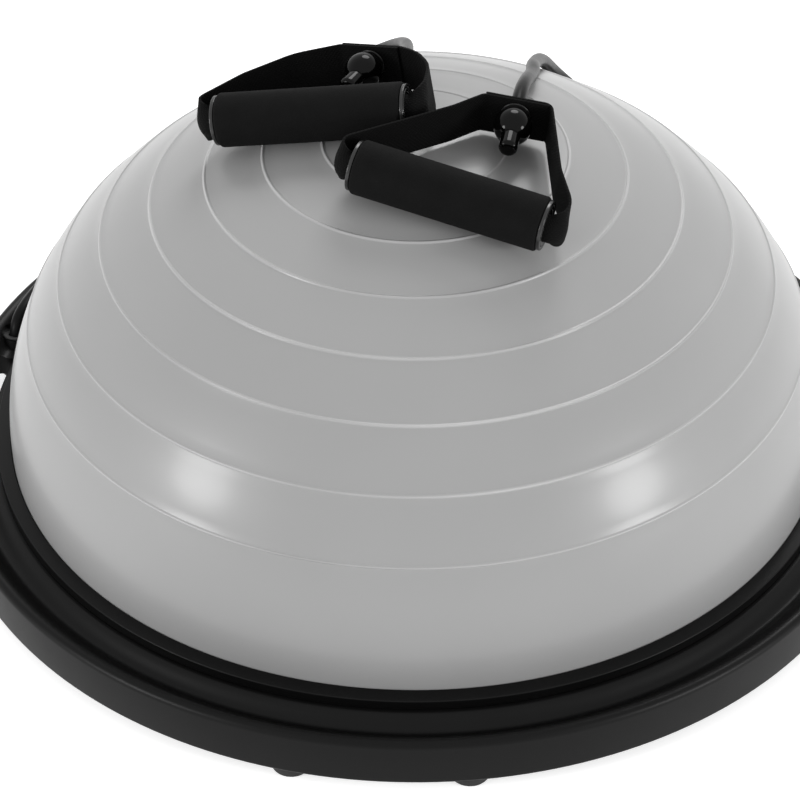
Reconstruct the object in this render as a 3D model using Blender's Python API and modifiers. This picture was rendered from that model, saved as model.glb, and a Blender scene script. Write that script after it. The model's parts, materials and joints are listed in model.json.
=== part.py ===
"""Half balance ball: an inflated dome on a round moulded base, with two pull handles on resistance tubes.

Every length is in metres. +Z is up and the origin is on the floor under the middle of the base.
The finger slots of the base lie on the X axis. Azimuths are in degrees from the front, which is -Y,
and grow towards +X.
"""

import math

import bmesh
import bpy
from mathutils import Matrix, Vector

# Clearances between pieces that touch on the real object
GAP = 0.0003
SLIP = 0.0005

# Dome: the upper part of a flattened ball, with fine raised rings
DOME_RADIUS = 0.280
DOME_RISE = 0.2215
DOME_CENTRE_LIFT = 0.0085
BLADDER_WALL = 0.003
RING_COUNT = 7
FIRST_RING_ARC = 0.061
RING_ARC_STEP = 0.0396
RING_ARC_GROWTH = 0.0008
RING_WIDTH = 0.0036
RING_HEIGHT = 0.0011
BEAD_HEIGHT = 0.004
BEAD_OUT = 0.0035

# Valve in the middle of the bladder's flat bottom
NECK_RADIUS = 0.011
NECK_LENGTH = 0.021
VALVE_BORE = 0.0048
PLUG_STEM_LENGTH = 0.0135
PLUG_FLANGE_RADIUS = 0.0105
PLUG_FLANGE_THICKNESS = 0.0025

# Base platform. Its circles are set outwards or inwards from the dome's edge, step by step
CLAMP_OUT = 0.010
LAND_MARGIN = 0.0015
CHANNEL_SLOPE_WIDTH = 0.0125
RIM_WIDTH = 0.021
SKIRT_INSET = 0.015
BASE_WALL = 0.003
FOOT_HEIGHT = 0.008
RIM_HEIGHT = 0.0335
RIM_ROUND = 0.0045
BASE_EDGE_ROUND = 0.0025
DECK_RISE = 0.0302
DECK_THICKNESS = 0.0035
CHANNEL_RISE = 0.023
VALVE_WELL_RADIUS = 0.019
WEB_THICKNESS = 0.0025
WEB_COUNT = 6
RIB_THICKNESS = 0.002
RIB_COUNT = 24
RIB_RISE = 0.0045

# Finger slots on both sides
SLOT_TO_LAND = 0.004
SLOT_TO_RIM = 0.0085
SLOT_HALF_ANGLE = 11.0
SLOT_WALL = 0.0025
SLOT_WALL_RISE = 0.008

# Retaining ring that clamps the bladder's bead
CLAMP_LIP = 0.0037
CLAMP_SLOPE = 0.0012
CLAMP_ROUND = 0.0014
CLAMP_SCREW_COUNT = 8
CLAMP_SCREW_RADIUS = 0.0014
CLAMP_SCREW_LENGTH = 0.0088
CLAMP_HEAD_RADIUS = 0.0028
CLAMP_HEAD_HEIGHT = 0.002

# Standing plate that closes the underside
PLATE_THICKNESS = 0.004
PLATE_RISE = 0.0015
PLATE_HOLE_RADIUS = 0.0165
TREAD_COUNT = 3
TREAD_TO_SCREWS = 0.038
TREAD_STEP = 0.060
TREAD_WIDTH = 0.006
TREAD_HEIGHT = 0.0012
PLATE_SCREW_INSET = 0.027
PLATE_SCREW_RADIUS = 0.0018
PLATE_SCREW_LENGTH = 0.014
PLATE_HEAD_RADIUS = 0.004
PLATE_HEAD_HEIGHT = 0.002
BOSS_WALL = 0.0035

# Rubber feet
FOOT_RADIUS = 0.013
FOOT_INSET = 0.016
FOOT_STEM_RADIUS = 0.004
FOOT_STEM_LENGTH = 0.009
FOOT_ROUND = 0.002
FOOT_AZIMUTHS = (-10.5, 10.5, 66.0, 114.0, 169.5, 190.5, 246.0, 294.0)

# Resistance tubes, their bushes in the base and their stoppers
TUBE_RADIUS = 0.00475
TUBE_LEAD = 0.006
HANDLE_LEAD = 0.012
TUBE_STEP = 0.022
EYELET_TO_CHANNEL = 0.002
EYELET_AZIMUTH = 105.0
EYELET_RISE = 0.0255
EYELET_TILT = 20.0
EYELET_DEPTH = 0.0095
BUSH_WALL = 0.0019
BUSH_FLANGE_OUT = 0.002
BUSH_FLANGE_THICKNESS = 0.0018
ANCHOR_BALL_RADIUS = 0.010
STOPPER_BALL_RADIUS = 0.0125
STOPPER_FACE_RADIUS = 0.0068
STOPPER_TAIL_RADIUS = 0.0062
STOPPER_TAIL_LENGTH = 0.014

# Handle grips
GRIP_HALF_LENGTH = 0.065
FOAM_RADIUS = 0.0178
FOAM_ROUND = 0.002
CORE_WALL = 0.0025
CAP_THICKNESS = 0.0025
CAP_STEP = 0.0014

# Webbing straps, their eyelets and the hole for the tube
STRAP_WIDTH = 0.030
STRAP_THICKNESS = 0.0016
STRAP_BEND = 0.0105
STRAP_EXIT = 0.0015
STRAP_UNCURL = 0.028
APEX_LENGTH = 0.044
APEX_CORNER = 0.006
LEG_CORNER = 0.030
STRAP_TUCK = 0.001
HOLE_HEIGHT = 0.003
GROMMET_WALL = 0.0019
GROMMET_FLANGE_OUT = 0.0028
GROMMET_FLANGE_THICKNESS = 0.0012

# Facets
BASE_STEPS = 40
SMALL_STEPS = 12
FINE_STEPS = 16
SLOT_ARC_STEPS = 8
SLOT_END_STEPS = 5
SCREW_STEPS = 6
BEND_STEPS = 5
BOSS_STEPS = 8
BALL_STEPS = 6
CURVE_STEPS = 24
STRAP_PARTS = 4
STRAP_STEP = 0.030
CORNER_STEP = 26.0
TINY = 0.000001

# How each handle lies on the dome. Azimuth and meridian say where the grip touches it. The apex and
# the legs' points, which go from the apex down to the grip, are in the plane of the handle: x along
# the grip, y from the grip towards the apex. The hinge is a height y and z in the same frame. A
# tube's points are azimuths, angles down from the dome's top, and lifts of its middle off the skin.
HANDLES = {
    "left": {
        "azimuth": -88.6,
        "meridian": 13.2,
        "heading": -5.5,
        "pitch": -7.4,
        "apex": (0.0270, 0.0670),
        "apex_turn": -15.0,
        "near_leg": [(-0.0240, 0.0630), (-0.0530, 0.0375)],
        "far_leg": [(0.0620, 0.0540), (0.0740, 0.0340)],
        "hinge": (0.1065, -0.0055),
        "tube": [
            (-112.0, 91.0, 0.0262),
            (-119.0, 91.0, 0.0245),
            (-127.0, 90.0, 0.0180),
            (-136.0, 85.0, 0.0085),
            (-146.0, 77.0, 0.0064),
            (-156.0, 67.0, 0.0062),
            (-164.0, 57.0, 0.0062),
            (-170.0, 47.0, 0.0062),
            (-173.0, 36.0, 0.0062),
            (-172.5, 25.5, 0.0068),
            (-167.5, 19.0, 0.0122),
        ],
    },
    "right": {
        "azimuth": 18.9,
        "meridian": 16.8,
        "heading": -16.5,
        "pitch": -8.0,
        "apex": (0.0125, 0.0925),
        "apex_turn": 10.5,
        "near_leg": [(-0.0230, 0.0680), (-0.040, 0.0480)],
        "far_leg": [(0.0590, 0.0390), (0.0735, 0.0150)],
        "hinge": (0.1510, -0.0120),
        "tube": [
            (112.0, 91.0, 0.0262),
            (119.0, 91.0, 0.0245),
            (127.0, 90.0, 0.0180),
            (136.0, 85.0, 0.0085),
            (146.0, 77.0, 0.0064),
            (154.0, 67.0, 0.0062),
            (158.5, 55.5, 0.0062),
            (157.0, 42.5, 0.0062),
            (151.5, 31.5, 0.0064),
            (142.5, 24.0, 0.0102),
        ],
    },
}

# Levels and radii that follow from the sizes above
CLAMP_RADIUS = DOME_RADIUS + CLAMP_OUT
LAND_RADIUS = CLAMP_RADIUS + LAND_MARGIN
CHANNEL_RADIUS = LAND_RADIUS + CHANNEL_SLOPE_WIDTH
BASE_RADIUS = CHANNEL_RADIUS + RIM_WIDTH
SKIRT_RADIUS = DOME_RADIUS - SKIRT_INSET
SLOT_INNER_RADIUS = LAND_RADIUS + SLOT_TO_LAND
SLOT_OUTER_RADIUS = BASE_RADIUS - SLOT_TO_RIM
FOOT_CIRCLE = BASE_RADIUS - FOOT_INSET
EYELET_CIRCLE = CHANNEL_RADIUS + EYELET_TO_CHANNEL
PLATE_SCREW_CIRCLE = SKIRT_RADIUS - PLATE_SCREW_INSET
TREAD_OUTER_RADIUS = PLATE_SCREW_CIRCLE - TREAD_TO_SCREWS
RIM_TOP = FOOT_HEIGHT + RIM_HEIGHT
DECK_TOP = FOOT_HEIGHT + DECK_RISE
DECK_UNDER = DECK_TOP - DECK_THICKNESS
BEAD_BOTTOM = DECK_TOP + GAP
BEAD_TOP = BEAD_BOTTOM + BEAD_HEIGHT
CLAMP_UNDER = BEAD_TOP + GAP
SEAT_TOP = CLAMP_UNDER + CLAMP_LIP
DOME_CENTRE = SEAT_TOP + DOME_CENTRE_LIFT
EDGE_RADIUS = DOME_RADIUS * math.sqrt(1.0 - (DOME_CENTRE_LIFT / DOME_RISE) ** 2)
BEAD_RADIUS = EDGE_RADIUS + BEAD_OUT
CLAMP_FOOT_RADIUS = BEAD_RADIUS + SLIP
CLAMP_SCREW_CIRCLE = (CLAMP_FOOT_RADIUS + CLAMP_RADIUS) / 2
PLATE_BOTTOM = FOOT_HEIGHT + PLATE_RISE
PLATE_TOP = PLATE_BOTTOM + PLATE_THICKNESS
SUPPORT_BOTTOM = PLATE_TOP + GAP
SKIRT_INNER = SKIRT_RADIUS - BASE_WALL
PLATE_RADIUS = SKIRT_INNER - SLIP
NECK_BOTTOM = BEAD_BOTTOM - NECK_LENGTH
TUBE_HOLE = TUBE_RADIUS + GAP
BUSH_RADIUS = TUBE_HOLE + BUSH_WALL
GROMMET_RADIUS = TUBE_HOLE + GROMMET_WALL
CURL_RADIUS = STRAP_WIDTH / math.pi
CORE_BORE = (CURL_RADIUS + STRAP_THICKNESS / 2 + GAP) / math.cos(math.pi / FINE_STEPS)
CORE_RADIUS = CORE_BORE + CORE_WALL
LAYER_STEP = STRAP_THICKNESS + GAP
STRAP_STACK = STRAP_THICKNESS + LAYER_STEP
ANCHOR_FACE = -EYELET_DEPTH - 2 * GAP - BUSH_FLANGE_THICKNESS
HANDLE_FACE = -STRAP_STACK / 2 - 2 * GAP - GROMMET_FLANGE_THICKNESS


def linear(shade):
    """Turn a screen grey from 0 to 1 into the linear value that a shader takes."""
    return shade / 12.92 if shade <= 0.04045 else ((shade + 0.055) / 1.055) ** 2.4


def make_material(name, shade, roughness, metallic=0.0, tint=(1.0, 1.0, 1.0)):
    material = bpy.data.materials.new(name)
    material.use_nodes = True
    shader = material.node_tree.nodes["Principled BSDF"]
    grey = linear(shade)
    colour = [grey * part for part in tint]
    shader.inputs["Base Color"].default_value = (*colour, 1.0)
    shader.inputs["Roughness"].default_value = roughness
    shader.inputs["Metallic"].default_value = metallic
    material.diffuse_color = (*colour, 1.0)
    return material


def clear_scene():
    for old in list(bpy.data.objects):
        bpy.data.objects.remove(old, do_unlink=True)


def make_collection(name, hidden=False):
    collection = bpy.data.collections.new(name)
    collection.hide_render = hidden
    bpy.context.scene.collection.children.link(collection)
    return collection


def add_object(name, mesh, material, parent=None, collection=None):
    made = bpy.data.objects.new(name, mesh)
    if material is not None:
        mesh.materials.append(material)
    (collection or PARTS).objects.link(made)
    if parent is not None:
        made.parent = parent
    return made


def azimuth_direction(azimuth):
    turn = math.radians(azimuth)
    return Vector((math.sin(turn), -math.cos(turn), 0.0))


def arc_points(centre_x, centre_z, radius, start, end, count):
    """Points of an arc in a profile, from one angle to another, in degrees from +X towards +Z."""
    points = []
    for index in range(count + 1):
        angle = math.radians(start + (end - start) * index / count)
        points.append((centre_x + radius * math.cos(angle), centre_z + radius * math.sin(angle)))
    return points


def turned(name, profile, material, steps, closed=False, parent=None, collection=None):
    """A turned solid. The profile of (radius, height) points runs down its outer side."""
    mesh = bpy.data.meshes.new(name)
    last = len(profile) - 1
    edges = [(index, index + 1) for index in range(last)]
    if closed:
        edges.append((last, 0))
    mesh.from_pydata([(radius, 0.0, height) for radius, height in profile], edges, [])
    made = add_object(name, mesh, material, parent, collection)
    screw = made.modifiers.new("Turn", "SCREW")
    screw.steps = steps
    screw.render_steps = steps
    screw.use_merge_vertices = True
    screw.merge_threshold = 0.00001
    screw.use_normal_calculate = False
    screw.use_smooth_shade = True
    return made


def flat_prism(outline, bottom, top):
    """A mesh of an upright prism over a flat outline."""
    shape = bmesh.new()
    corners = [shape.verts.new((x, y, bottom)) for x, y in outline]
    face = shape.faces.new(corners)
    grown = bmesh.ops.extrude_face_region(shape, geom=[face])
    lifted = [item for item in grown["geom"] if isinstance(item, bmesh.types.BMVert)]
    bmesh.ops.translate(shape, verts=lifted, vec=(0.0, 0.0, top - bottom))
    bmesh.ops.recalc_face_normals(shape, faces=shape.faces[:])
    mesh = bpy.data.meshes.new("prism")
    shape.to_mesh(mesh)
    shape.free()
    return mesh


def add_cylinder(shape, radius, bottom, top, place=(0.0, 0.0), steps=SMALL_STEPS, frame=None):
    """Add a cylinder to a bmesh, upright or along the Z of a frame."""
    at = Matrix.Translation((place[0], place[1], (bottom + top) / 2))
    bmesh.ops.create_cone(
        shape,
        cap_ends=True,
        segments=steps,
        radius1=radius,
        radius2=radius,
        depth=top - bottom,
        matrix=at if frame is None else frame @ at,
    )


def add_block(shape, size, centre, azimuth=0.0):
    """Add a box whose long side, its Y, points out along an azimuth."""
    turn = Matrix.Rotation(math.radians(azimuth), 4, "Z")
    at = turn @ Matrix.Translation(centre) @ Matrix.Diagonal((*size, 1.0))
    bmesh.ops.create_cube(shape, size=1.0, matrix=at)


def mesh_of(shape, name):
    mesh = bpy.data.meshes.new(name)
    shape.to_mesh(mesh)
    shape.free()
    return mesh


def combine(target, helper, operation):
    """Cut a helper from a solid, or join it on, and keep the helper out of the render."""
    helper.hide_render = True
    helper.display_type = "WIRE"
    change = target.modifiers.new(helper.name, "BOOLEAN")
    change.operation = operation
    change.object = helper
    change.solver = "EXACT"


def helper_object(name, mesh, parent=None):
    return add_object(name, mesh, None, parent, CUTTERS)


def azimuth_place(circle, azimuth):
    out = azimuth_direction(azimuth) * circle
    return (out.x, out.y)


def eyelet_frame(side):
    """Frame of a tube's eyelet in the base: origin on its top face, Z up along the tube, X outwards."""
    azimuth = side * EYELET_AZIMUTH
    out = azimuth_direction(azimuth)
    rear = Vector((-out.y, out.x, 0.0)) * side
    tilt = math.radians(EYELET_TILT)
    along = Vector((0.0, 0.0, math.cos(tilt))) + rear * math.sin(tilt)
    across = along.cross(out)
    frame = Matrix((out, across, along)).transposed().to_4x4()
    frame.translation = out * EYELET_CIRCLE + Vector((0.0, 0.0, FOOT_HEIGHT + EYELET_RISE))
    return frame


# Dome surface, used by the bladder, the handles and the tubes
def dome_point(azimuth, meridian, lift=0.0):
    """The point over the dome at an azimuth and at an angle down from its top, raised off the skin."""
    down = math.radians(meridian)
    out = azimuth_direction(azimuth)
    skin = out * (DOME_RADIUS * math.sin(down))
    skin.z = DOME_CENTRE + DOME_RISE * math.cos(down)
    return skin + dome_normal(azimuth, meridian) * lift


def dome_normal(azimuth, meridian):
    down = math.radians(meridian)
    normal = azimuth_direction(azimuth) * (math.sin(down) / DOME_RADIUS)
    normal.z = math.cos(down) / DOME_RISE
    return normal.normalized()


def meridian_at_arc(arc):
    """The angle down from the top at which the skin has run a given length."""
    angle = 0.0
    run = 0.0
    step = math.radians(0.25)
    while run < arc and angle < math.pi / 2:
        middle = angle + step / 2
        run += step * math.hypot(DOME_RADIUS * math.cos(middle), DOME_RISE * math.sin(middle))
        angle += step
    return math.degrees(angle)


def skin_profile(radius, rise, start, end, count):
    points = []
    for index in range(count + 1):
        down = math.radians(start + (end - start) * index / count)
        points.append((radius * math.sin(down), DOME_CENTRE + rise * math.cos(down)))
    return points


def dome_outline():
    """The outer skin from its top to its edge, with each raised ring as a low three point bump."""
    edge = 90.0 + math.degrees(math.asin(DOME_CENTRE_LIFT / DOME_RISE))
    half = math.degrees(RING_WIDTH / 2 / DOME_RADIUS)
    marks = [(0.0, 0.0)]
    arc = FIRST_RING_ARC
    for index in range(RING_COUNT):
        middle = meridian_at_arc(arc)
        if index == 0:
            marks.append((middle / 2, 0.0))
        marks += [(middle - half, 0.0), (middle, RING_HEIGHT), (middle + half, 0.0)]
        arc += RING_ARC_STEP + RING_ARC_GROWTH * (index + 1)
    marks.append(((marks[-1][0] + edge) / 2, 0.0))
    marks.append((edge, 0.0))
    outline = []
    for meridian, lift in marks:
        down = math.radians(meridian)
        slope = math.atan2(math.sin(down) / DOME_RADIUS, math.cos(down) / DOME_RISE)
        radius = DOME_RADIUS * math.sin(down) + lift * math.sin(slope)
        height = DOME_CENTRE + DOME_RISE * math.cos(down) + lift * math.cos(slope)
        outline.append((radius, height))
    return outline


def build_bladder():
    """Thin rubber dome with a flat bottom, a bead that is clamped, and a valve neck under the middle."""
    outer = dome_outline()
    floor_top = BEAD_BOTTOM + BLADDER_WALL
    inner_radius = DOME_RADIUS - BLADDER_WALL
    inner_rise = DOME_RISE - BLADDER_WALL
    inner_end = 90.0 + math.degrees(math.asin(DOME_CENTRE_LIFT / inner_rise))
    inner = skin_profile(inner_radius, inner_rise, inner_end, 0.0, 5)
    inner_edge = inner[0][0]
    profile = outer + [
        (EDGE_RADIUS, BEAD_TOP),
        (BEAD_RADIUS, BEAD_TOP),
        (BEAD_RADIUS, BEAD_BOTTOM),
        (NECK_RADIUS, BEAD_BOTTOM),
        (NECK_RADIUS, NECK_BOTTOM),
        (VALVE_BORE, NECK_BOTTOM),
        (VALVE_BORE, floor_top),
        (inner_edge - BLADDER_WALL, floor_top),
        (inner_edge, floor_top + BLADDER_WALL),
    ]
    bladder = turned("dome_bladder", profile + inner, DOME_RUBBER, BASE_STEPS)
    return bladder


def build_air_plug():
    """T-shaped plug that is pushed up into the valve neck from below."""
    stem = VALVE_BORE - GAP
    top = NECK_BOTTOM - GAP
    bottom = top - PLUG_FLANGE_THICKNESS
    tip = top + PLUG_STEM_LENGTH
    profile = [
        (0.0, tip),
        (stem, tip - stem),
        (stem, top),
        (PLUG_FLANGE_RADIUS, top),
        (PLUG_FLANGE_RADIUS, bottom),
        (PLUG_FLANGE_RADIUS * 0.6, bottom),
        (0.0, bottom + PLUG_FLANGE_THICKNESS / 2),
    ]
    turned("air_plug", profile, PLUG_RUBBER, FINE_STEPS)


def channel_height(radius):
    """Height of the base's top surface in the channel between the land and the rim's crest."""
    bottom = FOOT_HEIGHT + CHANNEL_RISE
    crest = BASE_RADIUS - RIM_ROUND
    if radius <= CHANNEL_RADIUS:
        share = (radius - LAND_RADIUS) / (CHANNEL_RADIUS - LAND_RADIUS)
        return bottom + (DECK_TOP - bottom) * (1 + math.cos(math.pi * share)) / 2
    share = (radius - CHANNEL_RADIUS) / (crest - CHANNEL_RADIUS)
    return bottom + (RIM_TOP - bottom) * (1 - math.cos(math.pi * share)) / 2


def channel_points(drop, count):
    """Points across the channel from the land to the crest, lowered by a wall where asked."""
    crest = BASE_RADIUS - RIM_ROUND
    points = []
    for start, end in ((LAND_RADIUS, CHANNEL_RADIUS), (CHANNEL_RADIUS, crest)):
        for index in range(count):
            radius = start + (end - start) * index / count
            points.append((radius, channel_height(radius) - drop))
    points.append((crest, RIM_TOP - drop))
    return points


def platform_profile():
    crest = BASE_RADIUS - RIM_ROUND
    wall_inner = BASE_RADIUS - BASE_WALL
    hole = NECK_RADIUS + SLIP
    top_side = [(hole, DECK_TOP)] + channel_points(0.0, 3)
    rim = arc_points(crest, RIM_TOP - RIM_ROUND, RIM_ROUND, 90.0, 0.0, 3)[1:]
    edge_x = BASE_RADIUS - BASE_EDGE_ROUND
    edge_z = FOOT_HEIGHT + BASE_EDGE_ROUND
    edge = arc_points(edge_x, edge_z, BASE_EDGE_ROUND, 0.0, -90.0, 2)
    under_side = [(wall_inner, FOOT_HEIGHT), (wall_inner, RIM_TOP - RIM_ROUND)]
    under_side += reversed(channel_points(BASE_WALL, 2))
    well_inner = VALVE_WELL_RADIUS - BASE_WALL
    inside = [
        (SKIRT_RADIUS, DECK_UNDER),
        (SKIRT_RADIUS, FOOT_HEIGHT + GAP),
        (SKIRT_INNER, FOOT_HEIGHT + GAP),
        (SKIRT_INNER, DECK_UNDER),
        (VALVE_WELL_RADIUS, DECK_UNDER),
        (VALVE_WELL_RADIUS, SUPPORT_BOTTOM),
        (well_inner, SUPPORT_BOTTOM),
        (well_inner, DECK_UNDER),
        (hole, DECK_UNDER),
    ]
    return top_side + rim + edge + under_side + inside


def slot_outline(side, grow):
    """Outline of a finger slot that follows the rim, with round ends. Side is +1 or -1 along X."""
    inner = SLOT_INNER_RADIUS - grow
    outer = SLOT_OUTER_RADIUS + grow
    middle = (inner + outer) / 2
    end = (outer - inner) / 2
    half = math.radians(SLOT_HALF_ANGLE) - (end - grow) / middle
    points = []
    for radius, turn in ((outer, half), (inner, -half)):
        for index in range(SLOT_ARC_STEPS + 1):
            swing = turn * (2 * index / SLOT_ARC_STEPS - 1)
            points.append((radius * math.cos(swing), radius * math.sin(swing)))
        lean = 0.0 if turn > 0 else math.pi
        for index in range(1, SLOT_END_STEPS):
            swing = turn + lean + math.pi * index / SLOT_END_STEPS
            x = middle * math.cos(turn) + end * math.cos(swing)
            y = middle * math.sin(turn) + end * math.sin(swing)
            points.append((x, y))
    return [(side * x, side * y) for x, y in points]


def rib_azimuths():
    """Azimuths of the radial ribs under the channel, clear of the slots, feet and tube bushes."""
    found = []
    for index in range(RIB_COUNT):
        azimuth = (index + 0.5) * 360.0 / RIB_COUNT
        clear = True
        for place, reach in (
            (90.0, SLOT_HALF_ANGLE + 2.0),
            (270.0, SLOT_HALF_ANGLE + 2.0),
            (EYELET_AZIMUTH, 3.5),
            (360.0 - EYELET_AZIMUTH, 3.5),
            *((azimuth_of_foot % 360.0, 3.5) for azimuth_of_foot in FOOT_AZIMUTHS),
        ):
            away = abs((azimuth - place + 180.0) % 360.0 - 180.0)
            clear = clear and away > reach
        if clear:
            found.append(azimuth)
    return found


def screw_azimuths(count):
    return [(index + 0.5) * 360.0 / count for index in range(count)]


def build_platform():
    """Upper moulding: deck, channel, rim, finger slots, foot bosses and the ribs that stiffen it."""
    platform = turned("base_platform", platform_profile(), BASE_PLASTIC, BASE_STEPS, closed=True)

    # Walls round the finger slots, trimmed inside the thickness of the channel
    for side, word in ((1, "right"), (-1, "left")):
        bottom = FOOT_HEIGHT + SLOT_WALL_RISE
        mesh = flat_prism(slot_outline(side, SLOT_WALL), bottom, RIM_TOP)
        wall = helper_object(word + "_slot_wall", mesh)
        above = channel_points(BASE_WALL / 2, 4)
        over = RIM_TOP + BASE_WALL
        trim = [(LAND_RADIUS - BASE_WALL, over), (BASE_RADIUS, over)]
        trim += [(BASE_RADIUS, RIM_TOP - BASE_WALL / 2)] + above[::-1]
        trim += [(LAND_RADIUS - BASE_WALL, DECK_TOP - BASE_WALL / 2)]
        trimmer = turned(word + "_slot_trim", trim, None, BASE_STEPS, closed=True, collection=CUTTERS)
        combine(wall, trimmer, "DIFFERENCE")
        combine(platform, wall, "UNION")

    # Radial ribs, webs, bosses for feet and screws, and the pads under the tube bushes
    added = bmesh.new()
    rib_top = FOOT_HEIGHT + CHANNEL_RISE - BASE_WALL / 2
    rib_bottom = FOOT_HEIGHT + RIB_RISE
    rib_start = SKIRT_RADIUS - BASE_WALL / 2
    rib_end = BASE_RADIUS - BASE_WALL / 2
    for azimuth in rib_azimuths():
        size = (RIB_THICKNESS, rib_end - rib_start, rib_top - rib_bottom)
        centre = (0.0, -(rib_start + rib_end) / 2, (rib_top + rib_bottom) / 2)
        add_block(added, size, centre, azimuth)
    combine(platform, helper_object("channel_ribs", mesh_of(added, "channel_ribs")), "UNION")

    webs = bmesh.new()
    deck_middle = DECK_TOP - DECK_THICKNESS / 2
    web_start = VALVE_WELL_RADIUS - BASE_WALL / 2
    web_end = SKIRT_RADIUS - BASE_WALL / 2
    for index in range(WEB_COUNT):
        size = (WEB_THICKNESS, web_end - web_start, deck_middle - SUPPORT_BOTTOM)
        centre = (0.0, -(web_start + web_end) / 2, (deck_middle + SUPPORT_BOTTOM) / 2)
        add_block(webs, size, centre, index * 360.0 / WEB_COUNT)
    combine(platform, helper_object("deck_webs", mesh_of(webs, "deck_webs")), "UNION")

    bosses = bmesh.new()
    boss_radius = PLATE_SCREW_RADIUS + GAP + BOSS_WALL
    for azimuth in screw_azimuths(WEB_COUNT):
        place = azimuth_place(PLATE_SCREW_CIRCLE, azimuth)
        add_cylinder(bosses, boss_radius, SUPPORT_BOTTOM, deck_middle, place, BOSS_STEPS)
    foot_boss_top = FOOT_HEIGHT + CHANNEL_RISE - BASE_WALL / 2
    for azimuth in FOOT_AZIMUTHS:
        place = azimuth_place(FOOT_CIRCLE, azimuth)
        add_cylinder(bosses, FOOT_RADIUS, FOOT_HEIGHT, foot_boss_top, place)
    pad_radius = BUSH_RADIUS + GAP + BUSH_FLANGE_OUT
    for side in (1, -1):
        add_cylinder(bosses, pad_radius, -EYELET_DEPTH, 0.0, frame=eyelet_frame(side))
    combine(platform, helper_object("base_bosses", mesh_of(bosses, "base_bosses")), "UNION")

    # Slots, holes for screws, foot stems and tube bushes, and the flats round the bushes
    for side, word in ((1, "right"), (-1, "left")):
        mesh = flat_prism(slot_outline(side, 0.0), 0.0, RIM_TOP + BASE_WALL)
        combine(platform, helper_object(word + "_slot_cut", mesh), "DIFFERENCE")
    holes = bmesh.new()
    pilot_top = PLATE_BOTTOM + PLATE_HEAD_HEIGHT + PLATE_SCREW_LENGTH + GAP
    for azimuth in screw_azimuths(WEB_COUNT):
        place = azimuth_place(PLATE_SCREW_CIRCLE, azimuth)
        add_cylinder(holes, PLATE_SCREW_RADIUS + GAP, FOOT_HEIGHT, pilot_top, place, SCREW_STEPS)
    for azimuth in screw_azimuths(CLAMP_SCREW_COUNT):
        place = azimuth_place(CLAMP_SCREW_CIRCLE, azimuth)
        add_cylinder(holes, CLAMP_SCREW_RADIUS + GAP, DECK_UNDER - GAP, DECK_TOP + GAP, place, SCREW_STEPS)
    for azimuth in FOOT_AZIMUTHS:
        place = azimuth_place(FOOT_CIRCLE, azimuth)
        stem_top = FOOT_HEIGHT + FOOT_STEM_LENGTH + GAP
        add_cylinder(holes, FOOT_STEM_RADIUS + GAP, 0.0, stem_top, place)
    for side in (1, -1):
        eyelet = eyelet_frame(side)
        add_cylinder(holes, BUSH_RADIUS + GAP, -2 * EYELET_DEPTH, EYELET_DEPTH, frame=eyelet)
    combine(platform, helper_object("base_holes", mesh_of(holes, "base_holes")), "DIFFERENCE")
    flats = bmesh.new()
    for side in (1, -1):
        add_cylinder(flats, pad_radius + GAP, 0.0, EYELET_DEPTH, frame=eyelet_frame(side))
    combine(platform, helper_object("bush_flats", mesh_of(flats, "bush_flats")), "DIFFERENCE")


def build_clamp_ring():
    """Ring that holds the bladder's bead down on the deck, screwed from below."""
    inner = EDGE_RADIUS + GAP
    outer_top = SEAT_TOP - CLAMP_SLOPE
    profile = [(inner, SEAT_TOP), (CLAMP_RADIUS - 2 * CLAMP_ROUND, outer_top + CLAMP_SLOPE / 4)]
    profile += arc_points(
        CLAMP_RADIUS - CLAMP_ROUND, outer_top - CLAMP_ROUND, CLAMP_ROUND, 90.0, 0.0, 1
    )
    profile += [
        (CLAMP_RADIUS, BEAD_BOTTOM),
        (CLAMP_FOOT_RADIUS, BEAD_BOTTOM),
        (CLAMP_FOOT_RADIUS, CLAMP_UNDER),
        (inner, CLAMP_UNDER),
    ]
    ring = turned("retaining_ring", profile, BASE_PLASTIC, BASE_STEPS, closed=True)
    holes = bmesh.new()
    top = DECK_UNDER - GAP + CLAMP_SCREW_LENGTH + GAP
    for azimuth in screw_azimuths(CLAMP_SCREW_COUNT):
        place = azimuth_place(CLAMP_SCREW_CIRCLE, azimuth)
        add_cylinder(holes, CLAMP_SCREW_RADIUS + GAP, DECK_TOP, top, place, SCREW_STEPS)
    combine(ring, helper_object("ring_pilot_holes", mesh_of(holes, "ring_pilot_holes")), "DIFFERENCE")


def build_screws(name, azimuths, circle, seat, length, radius, head_radius, head_height):
    """Screws on a circle, driven upwards with their heads under a seat."""
    tip = seat + length
    profile = [
        (0.0, tip),
        (radius, tip - 2 * radius),
        (radius, seat),
        (head_radius, seat),
        (head_radius, seat - head_height),
        (0.0, seat - head_height),
    ]
    for index, azimuth in enumerate(azimuths):
        screw = turned(name + "_" + str(index + 1), profile, SCREW_STEEL, SCREW_STEPS)
        place = azimuth_place(circle, azimuth)
        screw.location = (place[0], place[1], 0.0)


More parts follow.
